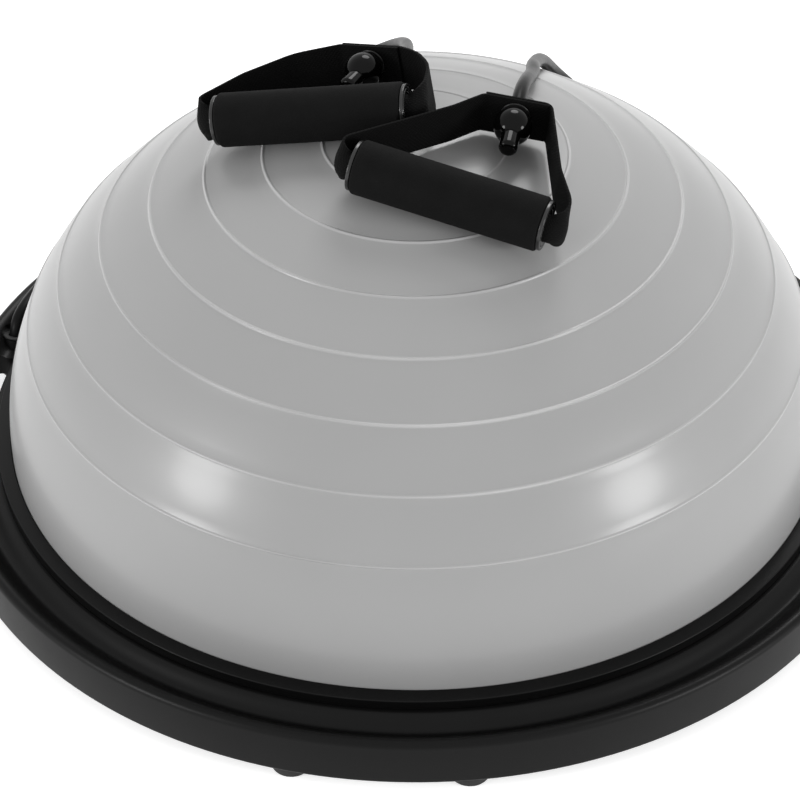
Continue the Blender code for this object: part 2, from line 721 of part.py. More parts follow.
def build_standing_plate():
    """Flat plate that the user stands on when the ball is turned over, with raised tread rings."""
    profile = [
        (PLATE_HOLE_RADIUS, PLATE_TOP),
        (PLATE_RADIUS, PLATE_TOP),
        (PLATE_RADIUS, PLATE_BOTTOM),
    ]
    for index in range(TREAD_COUNT):
        radius = TREAD_OUTER_RADIUS - TREAD_STEP * index
        profile += [
            (radius + TREAD_WIDTH / 2, PLATE_BOTTOM),
            (radius, PLATE_BOTTOM - TREAD_HEIGHT),
            (radius - TREAD_WIDTH / 2, PLATE_BOTTOM),
        ]
    profile.append((PLATE_HOLE_RADIUS, PLATE_BOTTOM))
    plate = turned("standing_plate", profile, BASE_PLASTIC, BASE_STEPS, closed=True)
    holes = bmesh.new()
    for azimuth in screw_azimuths(WEB_COUNT):
        place = azimuth_place(PLATE_SCREW_CIRCLE, azimuth)
        head = PLATE_BOTTOM + PLATE_HEAD_HEIGHT + GAP
        add_cylinder(holes, PLATE_HEAD_RADIUS + GAP, 0.0, head, place, BOSS_STEPS)
    combine(plate, helper_object("plate_counterbores", mesh_of(holes, "plate_counterbores")), "DIFFERENCE")
    shanks = bmesh.new()
    for azimuth in screw_azimuths(WEB_COUNT):
        place = azimuth_place(PLATE_SCREW_CIRCLE, azimuth)
        add_cylinder(shanks, PLATE_SCREW_RADIUS + GAP, 0.0, PLATE_TOP + GAP, place, SCREW_STEPS)
    combine(plate, helper_object("plate_holes", mesh_of(shanks, "plate_holes")), "DIFFERENCE")


def build_feet():
    """Eight rubber feet whose stems push up into bosses under the rim."""
    for index, azimuth in enumerate(FOOT_AZIMUTHS):
        top = FOOT_HEIGHT - GAP
        radius = FOOT_RADIUS
        profile = [
            (0.0, FOOT_HEIGHT + FOOT_STEM_LENGTH),
            (FOOT_STEM_RADIUS, FOOT_HEIGHT + FOOT_STEM_LENGTH),
            (FOOT_STEM_RADIUS, top),
            (radius, top),
            (radius, FOOT_ROUND),
            (radius - FOOT_ROUND, 0.0),
            (0.0, 0.0),
        ]
        foot = turned("foot_" + str(index + 1), profile, FOOT_RUBBER, SMALL_STEPS)
        place = azimuth_place(FOOT_CIRCLE, azimuth)
        foot.location = (place[0], place[1], 0.0)


def flanged_sleeve(bore, barrel, flange, thickness, bottom, top):
    """Profile of a sleeve with a flange at each end, whose flanges lie outside bottom and top."""
    return [
        (bore, top + thickness),
        (flange - thickness / 2, top + thickness),
        (flange, top),
        (barrel, top),
        (barrel, bottom),
        (flange, bottom),
        (flange - thickness / 2, bottom - thickness),
        (bore, bottom - thickness),
    ]


def ball_profile(ball, face, tail_radius, tail_length):
    """Profile of a stopper ball: a flat face on top, the ball, then a tail with a round end."""
    start = math.degrees(math.acos(face / ball))
    end = -math.degrees(math.acos(tail_radius / ball))
    tip = ball * math.sin(math.radians(end)) - tail_length
    points = [(0.0, ball * math.sin(math.radians(start)))]
    points += arc_points(0.0, 0.0, ball, start, end, BALL_STEPS)
    points += [
        (tail_radius, tip + tail_radius / 2),
        (tail_radius * 0.75, tip + tail_radius / 8),
        (tail_radius * 0.4, tip),
        (0.0, tip),
    ]
    return points


def build_tube_anchors():
    """Rubber bush where each tube goes down through the base, and the ball that stops it below."""
    flange = BUSH_RADIUS + BUSH_FLANGE_OUT
    thick = BUSH_FLANGE_THICKNESS
    sleeve = flanged_sleeve(TUBE_HOLE, BUSH_RADIUS, flange, thick, -EYELET_DEPTH - GAP, GAP)
    face = math.sqrt(ANCHOR_BALL_RADIUS**2 - TUBE_RADIUS**2)
    start = math.degrees(math.asin(face / ANCHOR_BALL_RADIUS))
    profile = [(0.0, face)]
    profile += arc_points(0.0, 0.0, ANCHOR_BALL_RADIUS, start, -90.0, BALL_STEPS)[:-1]
    profile.append((0.0, -ANCHOR_BALL_RADIUS))
    for side, word in ((-1, "left"), (1, "right")):
        eyelet = eyelet_frame(side)
        bush = turned(word + "_tube_bush", sleeve, FOOT_RUBBER, SMALL_STEPS, closed=True)
        bush.matrix_world = eyelet
        ball = turned(word + "_anchor_stopper", profile, STOPPER_PLASTIC, SMALL_STEPS)
        ball.matrix_world = eyelet @ Matrix.Translation((0.0, 0.0, ANCHOR_FACE - face))


def eased(share):
    """A share from 0 to 1 that starts and ends gently."""
    return share * share * (3 - 2 * share)


def smooth_curve(points, leave, arrive):
    """Many points of one smooth curve through a few, which starts and ends in given directions."""
    first = leave * (points[1] - points[0]).length
    last = arrive * (points[-1] - points[-2]).length
    middle = [(after - before) / 2 for before, after in zip(points, points[2:])]
    slopes = [first] + middle + [last]
    curve = []
    for index in range(len(points) - 1):
        for step in range(CURVE_STEPS):
            share = step / CURVE_STEPS
            place = points[index].lerp(points[index + 1], eased(share))
            place += slopes[index] * (share * (1 - share) ** 2)
            place += slopes[index + 1] * (share**2 * (share - 1))
            curve.append(place)
    curve.append(points[-1])
    return curve


def run_lengths(points):
    """How far along a polyline each of its points lies."""
    lengths = [0.0]
    for before, after in zip(points, points[1:]):
        lengths.append(lengths[-1] + (after - before).length)
    return lengths


def even_steps(curve, step):
    """Points at equal steps along a polyline, its two ends included."""
    lengths = run_lengths(curve)
    count = max(2, round(lengths[-1] / step))
    found = []
    at = 0
    for index in range(count + 1):
        run = lengths[-1] * index / count
        while at < len(lengths) - 2 and lengths[at + 1] < run:
            at += 1
        share = (run - lengths[at]) / (lengths[at + 1] - lengths[at])
        found.append(curve[at].lerp(curve[at + 1], min(1.0, share)))
    return found


def tube_route(word, spec):
    """Points along a tube, from the ball under the base to the stopper in front of the handle."""
    eyelet = eyelet_frame(-1 if word == "left" else 1)
    hole = handle_frame(spec) @ apex_frame(spec)
    bottom = eyelet @ Vector((0.0, 0.0, ANCHOR_FACE + GAP))
    start = eyelet @ Vector((0.0, 0.0, TUBE_LEAD))
    end = hole @ Vector((0.0, 0.0, HANDLE_LEAD))
    front = hole @ Vector((0.0, 0.0, HANDLE_FACE + GAP))
    chosen = [start] + [dome_point(*place) for place in spec["tube"]] + [end]
    leave = (start - bottom).normalized()
    arrive = (front - end).normalized()
    return [bottom] + even_steps(smooth_curve(chosen, leave, arrive), TUBE_STEP) + [front]


def build_tube(word, spec):
    route = tube_route(word, spec)
    curve = bpy.data.curves.new(word + "_tube", "CURVE")
    curve.dimensions = "3D"
    curve.bevel_depth = TUBE_RADIUS
    curve.bevel_resolution = 2
    curve.use_fill_caps = True
    spline = curve.splines.new("POLY")
    spline.points.add(len(route) - 1)
    for point, place in zip(spline.points, route):
        point.co = (*place, 1.0)
    add_object(word + "_tube", curve, TUBE_LATEX)


# Handle frame: origin at the middle of the grip, X along it, Y towards the apex, Z off the dome
def handle_frame(spec):
    normal = dome_normal(spec["azimuth"], spec["meridian"])
    contact = dome_point(spec["azimuth"], spec["meridian"])
    heading = math.radians(spec["heading"])
    along = Vector((math.cos(heading), math.sin(heading), 0.0))
    along = (along - normal * along.dot(normal)).normalized()
    across = normal.cross(along)
    centre = contact + normal * (FOAM_RADIUS + RING_HEIGHT + GAP)
    frame = Matrix((along, across, normal)).transposed().to_4x4()
    frame.translation = centre
    return frame @ Matrix.Rotation(math.radians(spec["pitch"]), 4, "X")


def turned_flat(vector, angle):
    """A flat vector turned by an angle in radians, from X towards Y."""
    cosine = math.cos(angle)
    sine = math.sin(angle)
    return Vector((vector.x * cosine - vector.y * sine, vector.x * sine + vector.y * cosine))


def rounded_corner(before, corner, after, radius):
    """Points that round a corner of a polyline, on an arc that touches both of its sides."""
    into = (corner - before).normalized()
    away = (after - corner).normalized()
    turn = math.atan2(into.x * away.y - into.y * away.x, into.dot(away))
    half = math.tan(abs(turn) / 2)
    if half < TINY:
        return [corner]
    shorter = min((corner - before).length, (after - corner).length)
    tangent = min(radius * half, shorter / 2 - TINY)
    start = corner - into * tangent
    spoke = turned_flat(into, math.copysign(math.pi / 2, -turn)) * (tangent / half)
    count = max(2, round(math.degrees(abs(turn)) / CORNER_STEP))
    return [start - spoke + turned_flat(spoke, turn * part / count) for part in range(count + 1)]


def rounded_path(points, radii):
    """A polyline with each of its inner corners rounded by its own radius."""
    path = [points[0]]
    for index, radius in enumerate(radii):
        path += rounded_corner(*points[index : index + 3], radius)
    path.append(points[-1])
    return path


def touch_angle(centre, outside, side):
    """The angle at which a line from an outside point touches a strap bend, on one side of it."""
    gap = outside - centre
    return math.atan2(gap.y, gap.x) - side * math.acos(STRAP_BEND / gap.length)


def bend_arc(centre, start, end):
    """Points of the bend that takes the strap into the grip, between two angles in radians."""
    points = []
    for index in range(BEND_STEPS + 1):
        angle = start + (end - start) * index / BEND_STEPS
        points.append(centre + Vector((math.cos(angle), math.sin(angle))) * STRAP_BEND)
    return points


def strap_path(spec):
    """The strap's mid line in the handle's plane, from its inner end round to its outer end.

    It starts at the far end of the apex, crosses it, comes down to the grip, runs through the core,
    and goes back up to the apex, where it overlaps its own start.
    """
    turn = math.radians(spec["apex_turn"])
    along = Vector((math.cos(turn), math.sin(turn)))
    lift = Vector((-along.y, along.x)) * LAYER_STEP
    tuck = along * STRAP_TUCK
    apex = Vector(spec["apex"])
    near_corner = apex - along * (APEX_LENGTH / 2)
    far_corner = apex + along * (APEX_LENGTH / 2)
    near_leg = [Vector(point) for point in spec["near_leg"]]
    far_leg = [Vector(point) for point in spec["far_leg"]]

    # Bends at both ends of the grip, from where a leg touches them to the bottom of the core
    bend_x = GRIP_HALF_LENGTH + STRAP_EXIT
    bend_y = STRAP_BEND - CURL_RADIUS
    near_bend = Vector((-bend_x, bend_y))
    far_bend = Vector((bend_x, bend_y))
    near_angle = touch_angle(near_bend, near_leg[-1], -1) % (2 * math.pi)
    far_angle = touch_angle(far_bend, far_leg[-1], 1)
    bend_in = bend_arc(near_bend, near_angle, 1.5 * math.pi)
    bend_out = bend_arc(far_bend, -0.5 * math.pi, far_angle)

    first = rounded_path(
        [far_corner - tuck, near_corner] + near_leg + [bend_in[0]],
        [APEX_CORNER] + [LEG_CORNER] * len(near_leg),
    )
    last = rounded_path(
        [bend_out[-1]] + far_leg[::-1] + [far_corner + lift, near_corner + lift + tuck],
        [LEG_CORNER] * len(far_leg) + [APEX_CORNER],
    )
    return first + bend_in + bend_out + last


def dense_path(path, longest):
    """Add points so that no step of the path is longer than asked, and drop steps of no length."""
    dense = [path[0]]
    for point in path[1:]:
        start = dense[-1]
        step = (point - start).length
        if step < TINY:
            continue
        pieces = math.ceil(step / longest)
        dense += [start.lerp(point, piece / pieces) for piece in range(1, pieces + 1)]
    return dense


def strap_section(curl):
    """Corners round the webbing's section, as offsets to the side of the mid line and along Z.

    Curl is one over the radius that the webbing is rolled to across its width, and 0 leaves it flat.
    """
    corners = []
    for face in (1, -1):
        for part in range(STRAP_PARTS + 1):
            width = face * STRAP_WIDTH * (part / STRAP_PARTS - 0.5)
            tilt = width * curl
            sag = (1 - math.cos(tilt)) / curl if curl > 0 else 0.0
            height = math.sin(tilt) / curl if curl > 0 else width
            thick = face * STRAP_THICKNESS / 2
            corners.append((sag + thick * math.cos(tilt), height - thick * math.sin(tilt)))
    return corners


def strap_mesh(spec):
    """Webbing loop: a band on edge whose section rolls into a half round inside the grip's core."""
    stations = dense_path(strap_path(spec), STRAP_STEP)
    lengths = run_lengths(stations)
    in_core = [run for run, point in zip(lengths, stations) if point.y < TINY - CURL_RADIUS]
    headings = [(after - before).normalized() for before, after in zip(stations, stations[1:])]
    shape = bmesh.new()
    rings = []
    for index, point in enumerate(stations):
        before = headings[max(index - 1, 0)]
        after = headings[min(index, len(headings) - 1)]
        side = turned_flat((before + after).normalized(), math.pi / 2)
        away = max(in_core[0] - lengths[index], lengths[index] - in_core[-1], 0.0)
        curl = eased(max(0.0, 1.0 - away / STRAP_UNCURL)) / CURL_RADIUS
        ring = []
        for offset, height in strap_section(curl):
            place = point + side * offset
            ring.append(shape.verts.new((place.x, place.y, height)))
        rings.append(ring)
    for one, two in zip(rings, rings[1:]):
        for index, corner in enumerate(one):
            follow = (index + 1) % len(one)
            shape.faces.new((corner, one[follow], two[follow], two[index]))
    shape.faces.new(rings[0])
    shape.faces.new(rings[-1])
    bmesh.ops.recalc_face_normals(shape, faces=shape.faces[:])
    return mesh_of(shape, "strap")


def place_empty(name, frame, parent=None):
    empty = bpy.data.objects.new(name, None)
    PARTS.objects.link(empty)
    empty.parent = parent
    empty.matrix_world = frame
    return empty


def apex_frame(spec):
    """Frame of the tube's hole: origin mid way through both strap layers, Z pointing back along the tube."""
    turn = math.radians(spec["apex_turn"])
    along = Vector((math.cos(turn), math.sin(turn), 0.0))
    back = Vector((-along.y, along.x, 0.0))
    up = Vector((0.0, 0.0, 1.0))
    middle = Vector((*spec["apex"], HOLE_HEIGHT)) + back * (LAYER_STEP / 2)
    frame = Matrix((along, -up, back)).transposed().to_4x4()
    frame.translation = middle
    return frame


def build_handle(word, spec):
    frame = handle_frame(spec)
    hole_frame = apex_frame(spec)
    bend = Vector((spec["apex"][0], *spec["hinge"]))
    hinge = place_empty(word + "_handle_axis", frame @ Matrix.Translation(bend))
    bpy.context.view_layer.update()
    grip = place_empty(word + "_grip_axis", frame, hinge)
    bpy.context.view_layer.update()

    # Strap, with the hole for the tube through both layers of the apex
    strap = add_object(word + "_strap", strap_mesh(spec), WEBBING)
    strap.parent = hinge
    strap.matrix_world = frame
    punch = bmesh.new()
    add_cylinder(punch, GROMMET_RADIUS + GAP, -STRAP_STACK, STRAP_STACK)
    hole = helper_object(word + "_strap_hole", mesh_of(punch, word + "_strap_hole"), hinge)
    hole.matrix_world = frame @ hole_frame
    combine(strap, hole, "DIFFERENCE")

    # Eyelet through the strap, then the ball and tail in front of it
    half = STRAP_STACK / 2 + GAP
    flange = GROMMET_RADIUS + GROMMET_FLANGE_OUT
    sleeve = flanged_sleeve(
        TUBE_HOLE, GROMMET_RADIUS, flange, GROMMET_FLANGE_THICKNESS, -half, half
    )
    grommet = turned(word + "_strap_eyelet", sleeve, EYELET_METAL, SMALL_STEPS, closed=True)
    grommet.parent = hinge
    grommet.matrix_world = frame @ hole_frame
    ball = ball_profile(
        STOPPER_BALL_RADIUS, STOPPER_FACE_RADIUS, STOPPER_TAIL_RADIUS, STOPPER_TAIL_LENGTH
    )
    drop = HANDLE_FACE - ball[0][1]
    stopper = turned(word + "_handle_stopper", ball, STOPPER_PLASTIC, SMALL_STEPS)
    stopper.parent = hinge
    stopper.matrix_world = frame @ hole_frame @ Matrix.Translation((0.0, 0.0, drop))

    # Grip: a hard core, a foam sleeve and an end cap on each end, all turned about the grip's axis
    lay = Matrix.Rotation(math.radians(90.0), 4, "Y")
    bore = CORE_RADIUS + GAP
    cap_half = GRIP_HALF_LENGTH - CAP_THICKNESS
    foam_half = cap_half - GAP
    core = [
        (CORE_BORE, GRIP_HALF_LENGTH),
        (CORE_RADIUS, GRIP_HALF_LENGTH),
        (CORE_RADIUS, -GRIP_HALF_LENGTH),
        (CORE_BORE, -GRIP_HALF_LENGTH),
    ]
    foam_edge = FOAM_RADIUS - FOAM_ROUND
    foam = [(bore, foam_half)]
    foam += arc_points(foam_edge, foam_half - FOAM_ROUND, FOAM_ROUND, 90.0, 0.0, 2)
    foam += arc_points(foam_edge, FOAM_ROUND - foam_half, FOAM_ROUND, 0.0, -90.0, 2)
    foam.append((bore, -foam_half))
    cap_radius = FOAM_RADIUS - CAP_STEP
    cap = [
        (bore, GRIP_HALF_LENGTH),
        (cap_radius - CAP_THICKNESS / 3, GRIP_HALF_LENGTH),
        (cap_radius, GRIP_HALF_LENGTH - CAP_THICKNESS / 3),
        (cap_radius, cap_half),
        (bore, cap_half),
    ]
    pieces = [
        ("_grip_core", core, CORE_PLASTIC, 1),
        ("_foam_grip", foam, FOAM, 1),
        ("_grip_cap_near", cap, CORE_PLASTIC, -1),
        ("_grip_cap_far", cap, CORE_PLASTIC, 1),
    ]
    for ending, profile, material, end in pieces:
        piece = turned(word + ending, profile, material, FINE_STEPS, closed=True)
        piece.parent = grip
        flip = Matrix.Identity(4) if end > 0 else Matrix.Rotation(math.pi, 4, "Y")
        piece.matrix_world = frame @ flip @ lay


clear_scene()
PARTS = make_collection("Half balance ball")
CUTTERS = make_collection("Cutters", hidden=True)

DOME_RUBBER = make_material("dome_rubber", 0.68, 0.35)
BASE_PLASTIC = make_material("base_plastic", 0.15, 0.4)
PLUG_RUBBER = make_material("plug_rubber", 0.2, 0.5)
SCREW_STEEL = make_material("screw_steel", 0.6, 0.3, metallic=1.0)
FOOT_RUBBER = make_material("foot_rubber", 0.12, 0.7)
STOPPER_PLASTIC = make_material("stopper_plastic", 0.08, 0.15)
WEBBING = make_material("webbing", 0.05, 0.9)
EYELET_METAL = make_material("eyelet_metal", 0.25, 0.3, metallic=1.0)
CORE_PLASTIC = make_material("core_plastic", 0.12, 0.35)
FOAM = make_material("foam", 0.11, 0.85)
TUBE_LATEX = make_material("tube_latex", 0.4, 0.3)

build_bladder()
build_air_plug()
build_platform()
build_clamp_ring()
build_screws(
    "ring_screw",
    screw_azimuths(CLAMP_SCREW_COUNT),
    CLAMP_SCREW_CIRCLE,
    DECK_UNDER - GAP,
    CLAMP_SCREW_LENGTH,
    CLAMP_SCREW_RADIUS,
    CLAMP_HEAD_RADIUS,
    CLAMP_HEAD_HEIGHT,
)
build_screws(
    "plate_screw",
    screw_azimuths(WEB_COUNT),
    PLATE_SCREW_CIRCLE,
    PLATE_BOTTOM + PLATE_HEAD_HEIGHT,
    PLATE_SCREW_LENGTH,
    PLATE_SCREW_RADIUS,
    PLATE_HEAD_RADIUS,
    PLATE_HEAD_HEIGHT,
)
build_standing_plate()
build_feet()
build_tube_anchors()
for side_word, handle in HANDLES.items():
    build_handle(side_word, handle)
    build_tube(side_word, handle)
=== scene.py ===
# %% [markdown]
# # A half balance ball, dressed for its photograph
#
# The real object is an air-filled rubber dome, clamped on a wide plastic base. Two pull handles lie
# on the dome, each on the end of a rubber resistance tube. Their plain solids come from a packed
# model. This lesson lays finer pieces over those solids, one at a time,
# and gives each its finish. All lengths are in metres, +Z is up and the photographer stands at -Y.

import json
import math

import bpy
from mathutils import Matrix, Vector

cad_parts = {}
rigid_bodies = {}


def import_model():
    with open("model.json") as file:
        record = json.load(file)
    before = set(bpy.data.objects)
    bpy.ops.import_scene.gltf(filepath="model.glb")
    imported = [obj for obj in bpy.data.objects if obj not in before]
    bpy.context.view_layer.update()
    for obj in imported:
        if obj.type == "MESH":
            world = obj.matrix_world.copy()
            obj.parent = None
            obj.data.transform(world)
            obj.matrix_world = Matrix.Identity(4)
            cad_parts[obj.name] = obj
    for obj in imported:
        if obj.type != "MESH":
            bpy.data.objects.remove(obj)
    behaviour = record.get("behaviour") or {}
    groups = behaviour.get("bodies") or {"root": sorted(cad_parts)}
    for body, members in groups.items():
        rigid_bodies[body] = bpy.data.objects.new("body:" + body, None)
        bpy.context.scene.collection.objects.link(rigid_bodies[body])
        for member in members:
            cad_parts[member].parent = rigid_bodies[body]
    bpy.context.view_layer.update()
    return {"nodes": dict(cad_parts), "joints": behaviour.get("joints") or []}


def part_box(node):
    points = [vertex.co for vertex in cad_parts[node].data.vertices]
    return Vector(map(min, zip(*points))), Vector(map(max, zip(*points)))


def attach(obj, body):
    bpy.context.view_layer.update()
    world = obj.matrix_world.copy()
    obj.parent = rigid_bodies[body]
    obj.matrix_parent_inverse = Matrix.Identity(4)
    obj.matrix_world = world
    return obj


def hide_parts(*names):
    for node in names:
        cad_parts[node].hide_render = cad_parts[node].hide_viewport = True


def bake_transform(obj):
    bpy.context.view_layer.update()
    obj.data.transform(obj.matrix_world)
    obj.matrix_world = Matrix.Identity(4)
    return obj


for leftover in list(bpy.data.objects):
    bpy.data.objects.remove(leftover)

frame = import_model()
joints = {joint["name"]: joint for joint in frame["joints"]}
print("solids:", len(frame["nodes"]), "joints:", sorted(joints))

# %% [markdown]
# ## Camera
#
# The photo looks down on the ball from the front with a long lens, so the ellipses of the base and of
# the dome's rings keep nearly the same shape from near to far. A long lens far away gives that look,
# where a short lens close by would swell the front edge. The three turns are about the vertical, the
# sideways and the lens's own axis.

# %% Place the camera
CAMERA_PLACE = Vector((0.1345, -1.7685, 1.4675))
CAMERA_HEADING = 4.715
CAMERA_TILT = 51.4775
CAMERA_ROLL = -0.3638
LENS_MM = 147.38


def turn_about(axis, degrees):
    return Matrix.Rotation(math.radians(degrees), 4, axis)


camera_turn = turn_about("Z", CAMERA_HEADING) @ turn_about("X", CAMERA_TILT)
camera_turn = camera_turn @ turn_about("Z", CAMERA_ROLL)
bpy.ops.object.camera_add(location=CAMERA_PLACE, rotation=camera_turn.to_euler())
camera = bpy.context.object
camera.name = "photo_camera"
camera.data.lens = LENS_MM
bpy.context.scene.camera = camera
print("camera to ball:", round(CAMERA_PLACE.length, 2), "m")

# %% [markdown]
# ## The dome as a formula
#
# The dome is the top of a flattened ball, an ellipsoid. Everything that lies on it, such as a tube or
# a grip, needs points on its skin, so the skin is written down once as a formula. An azimuth says how
# far round a point is from the front, and a meridian how far down from the top, both in degrees. The
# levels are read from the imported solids, so that the fine pieces land where the solids are.

# %% Write the skin of the dome
DOME_RADIUS = 0.280
DOME_CENTRE_LIFT = 0.0085
SEAT_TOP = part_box("retaining_ring")[1].z
DOME_CENTRE = SEAT_TOP + DOME_CENTRE_LIFT
DOME_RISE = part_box("dome_bladder")[1].z - DOME_CENTRE


def out_from_axis(azimuth):
    turn = math.radians(azimuth)
    return Vector((math.sin(turn), -math.cos(turn), 0.0))


def dome_normal(azimuth, meridian):
    down = math.radians(meridian)
    normal = out_from_axis(azimuth) * (math.sin(down) / DOME_RADIUS)
    normal.z = math.cos(down) / DOME_RISE
    return normal.normalized()


def dome_point(azimuth, meridian, lift=0.0):
    """A point over the dome, lifted off its skin."""
    down = math.radians(meridian)
    skin = out_from_axis(azimuth) * (DOME_RADIUS * math.sin(down))
    skin.z = DOME_CENTRE + DOME_RISE * math.cos(down)
    return skin + dome_normal(azimuth, meridian) * lift


print("dome rises", round(DOME_RISE, 4), "m above", round(DOME_CENTRE, 4), "m")

# %% [markdown]
# ## Chosen places of the handles
#
# A pull handle is a loop of webbing with a grip in it, and its tube makes a long bow over the back of
# the dome. Both could be drawn with the mouse until they look right. Here their bends are short lists
# of places, the same ones that the solids were drawn from, so the fine pieces lie where the solids
# lie. A strap's places are in the plane of its handle. A tube's are azimuths, meridians and lifts off
# the skin of the dome.

# %% List the chosen places
HANDLES = {
    "left": {
        "side": -1,
        "apex": (0.0270, 0.0670),
        "apex_turn": -15.0,
        "near_leg": [(-0.0240, 0.0630), (-0.0530, 0.0375)],
        "far_leg": [(0.0620, 0.0540), (0.0740, 0.0340)],
        "hinge": (0.1065, -0.0055),
        "tube": [
            (-112.0, 91.0, 0.0262),
            (-119.0, 91.0, 0.0245),
            (-127.0, 90.0, 0.0180),
            (-136.0, 85.0, 0.0085),
            (-146.0, 77.0, 0.0064),
            (-156.0, 67.0, 0.0062),
            (-164.0, 57.0, 0.0062),
            (-170.0, 47.0, 0.0062),
            (-173.0, 36.0, 0.0062),
            (-172.5, 25.5, 0.0068),
            (-167.5, 19.0, 0.0122),
        ],
    },
    "right": {
        "side": 1,
        "apex": (0.0125, 0.0925),
        "apex_turn": 10.5,
        "near_leg": [(-0.0230, 0.0680), (-0.040, 0.0480)],
        "far_leg": [(0.0590, 0.0390), (0.0735, 0.0150)],
        "hinge": (0.1510, -0.0120),
        "tube": [
            (112.0, 91.0, 0.0262),
            (119.0, 91.0, 0.0245),
            (127.0, 90.0, 0.0180),
            (136.0, 85.0, 0.0085),
            (146.0, 77.0, 0.0064),
            (154.0, 67.0, 0.0062),
            (158.5, 55.5, 0.0062),
            (157.0, 42.5, 0.0062),
            (151.5, 31.5, 0.0064),
            (142.5, 24.0, 0.0102),
        ],
    },
}
for word, spec in HANDLES.items():
    print(word, "tube is led through", len(spec["tube"]), "places on the dome")

# %% [markdown]
# ## Where the handles lie
#
# Each handle was laid on the dome, and the model keeps its place in two joints: the grip spins
# about its own axis, and the whole handle lifts about a hinge behind its strap. The places could be
# written down once more here, but then they might drift apart from the model. From the two joints comes
# a frame for each handle instead, with X along the grip, Y from the grip to the strap's apex and Z off
# the dome.

# %% Find the frame of each handle
GAP = 0.0003
STRAP_THICKNESS = 0.0016
LAYER_STEP = STRAP_THICKNESS + GAP
HOLE_HEIGHT = 0.003


def matrix_from(along, across, up, origin):
    made = Matrix((along, across, up)).transposed().to_4x4()
    made.translation = origin
    return made


def handle_frame(word):
    """The frame of a handle, worked out from its spin axis and its hinge."""
    centre = Vector(joints[word + "_grip_spin"]["pos_m"])
    along = Vector(joints[word + "_grip_spin"]["axis"]).normalized()
    to_hinge = Vector(joints[word + "_handle_lift"]["pos_m"]) - centre
    to_hinge -= along * to_hinge.dot(along)
    hinge_y, hinge_z = HANDLES[word]["hinge"]
    lean = Matrix.Rotation(-math.atan2(hinge_z, hinge_y), 3, along)
    across = (lean @ to_hinge).normalized()
    return matrix_from(along, across, along.cross(across), centre)


def hole_frame(spec):
    """The frame of the tube's hole: origin mid way through both strap layers, Z back along the tube."""
    turn = math.radians(spec["apex_turn"])
    along = Vector((math.cos(turn), math.sin(turn), 0.0))
    back = Vector((-along.y, along.x, 0.0))
    middle = Vector((*spec["apex"], HOLE_HEIGHT)) + back * (LAYER_STEP / 2)
    return matrix_from(along, Vector((0.0, 0.0, -1.0)), back, middle)


for word in HANDLES:
    print(word, "grip at", [round(part, 4) for part in handle_frame(word).translation])

# %% [markdown]
# ## Resistance tubes
#
# Each tube is limp latex. It starts at a ball under the base, comes up through a bush in the channel,
# runs up over the back of the dome and goes into the hole in its strap. The tubes are made first,
# because they settle how much room the model needs. Their two ends could be typed in as points. But
# bush and hole are both tilted, so a frame at each of them says where the tube is and which way it runs.

# %% Set where the tubes start and end
FOOT_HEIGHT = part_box("base_platform")[0].z
EYELET_CIRCLE = 0.306
EYELET_AZIMUTH = 105.0
EYELET_RISE = 0.0255
EYELET_TILT = 20.0
EYELET_DEPTH = 0.0095
BUSH_FLANGE_THICKNESS = 0.0018
EYELET_FLANGE_THICKNESS = 0.0012
TUBE_LEAD = 0.006
HANDLE_LEAD = 0.012
STRAP_STACK = STRAP_THICKNESS + LAYER_STEP
ANCHOR_FACE = -EYELET_DEPTH - 2 * GAP - BUSH_FLANGE_THICKNESS
HANDLE_FACE = -STRAP_STACK / 2 - 2 * GAP - EYELET_FLANGE_THICKNESS


def bush_frame(side):
    """The frame of a tube's bush in the base: origin on its seat, Z up along the tube, X outwards."""
    out = out_from_axis(side * EYELET_AZIMUTH)
    rear = Vector((-out.y, out.x, 0.0)) * side
    tilt = math.radians(EYELET_TILT)
    along = Vector((0.0, 0.0, math.cos(tilt))) + rear * math.sin(tilt)
    seat = out * EYELET_CIRCLE + Vector((0.0, 0.0, FOOT_HEIGHT + EYELET_RISE))
    return matrix_from(out, along.cross(out), along, seat)


for word, spec in HANDLES.items():
    print(word, "bush at", [round(part, 4) for part in bush_frame(spec["side"]).translation])

# %% [markdown]
# ## The line of a tube
#
# A limp tube lies in long, soft bends. Its line could be a bezier curve, but then its points would have
# handles to set as well. Here the chosen places are joined by one smooth curve. It is then read off
# every few millimetres, in equal steps, because a finished tube gets a ring of faces at each of them.

# %% Lead a smooth line through the chosen places
CURVE_STEPS = 24
TUBE_STEP = 0.004


def smooth_curve(points, leave, arrive):
    """Many points of one smooth curve through a few, with given directions at its ends."""
    first = leave * (points[1] - points[0]).length
    last = arrive * (points[-1] - points[-2]).length
    middle = [(after - before) / 2 for before, after in zip(points, points[2:])]
    slopes = [first] + middle + [last]
    curve = []
    for index in range(len(points) - 1):
        for step in range(CURVE_STEPS):
            share = step / CURVE_STEPS
            eased = share * share * (3 - 2 * share)
            place = points[index].lerp(points[index + 1], eased)
            place += slopes[index] * (share * (1 - share) ** 2)
            place += slopes[index + 1] * (share**2 * (share - 1))
            curve.append(place)
    curve.append(points[-1])
    return curve


def run_lengths(points):
    lengths = [0.0]
    for before, after in zip(points, points[1:]):
        lengths.append(lengths[-1] + (after - before).length)
    return lengths


def even_steps(curve, step):
    """Points at equal steps along a line, its two ends included."""
    lengths = run_lengths(curve)
    count = max(2, round(lengths[-1] / step))
    found = []
    at = 0
    for index in range(count + 1):
        run = lengths[-1] * index / count
        while at < len(lengths) - 2 and lengths[at + 1] < run:
            at += 1
        share = (run - lengths[at]) / (lengths[at + 1] - lengths[at])
        found.append(curve[at].lerp(curve[at + 1], min(1.0, share)))
    return found


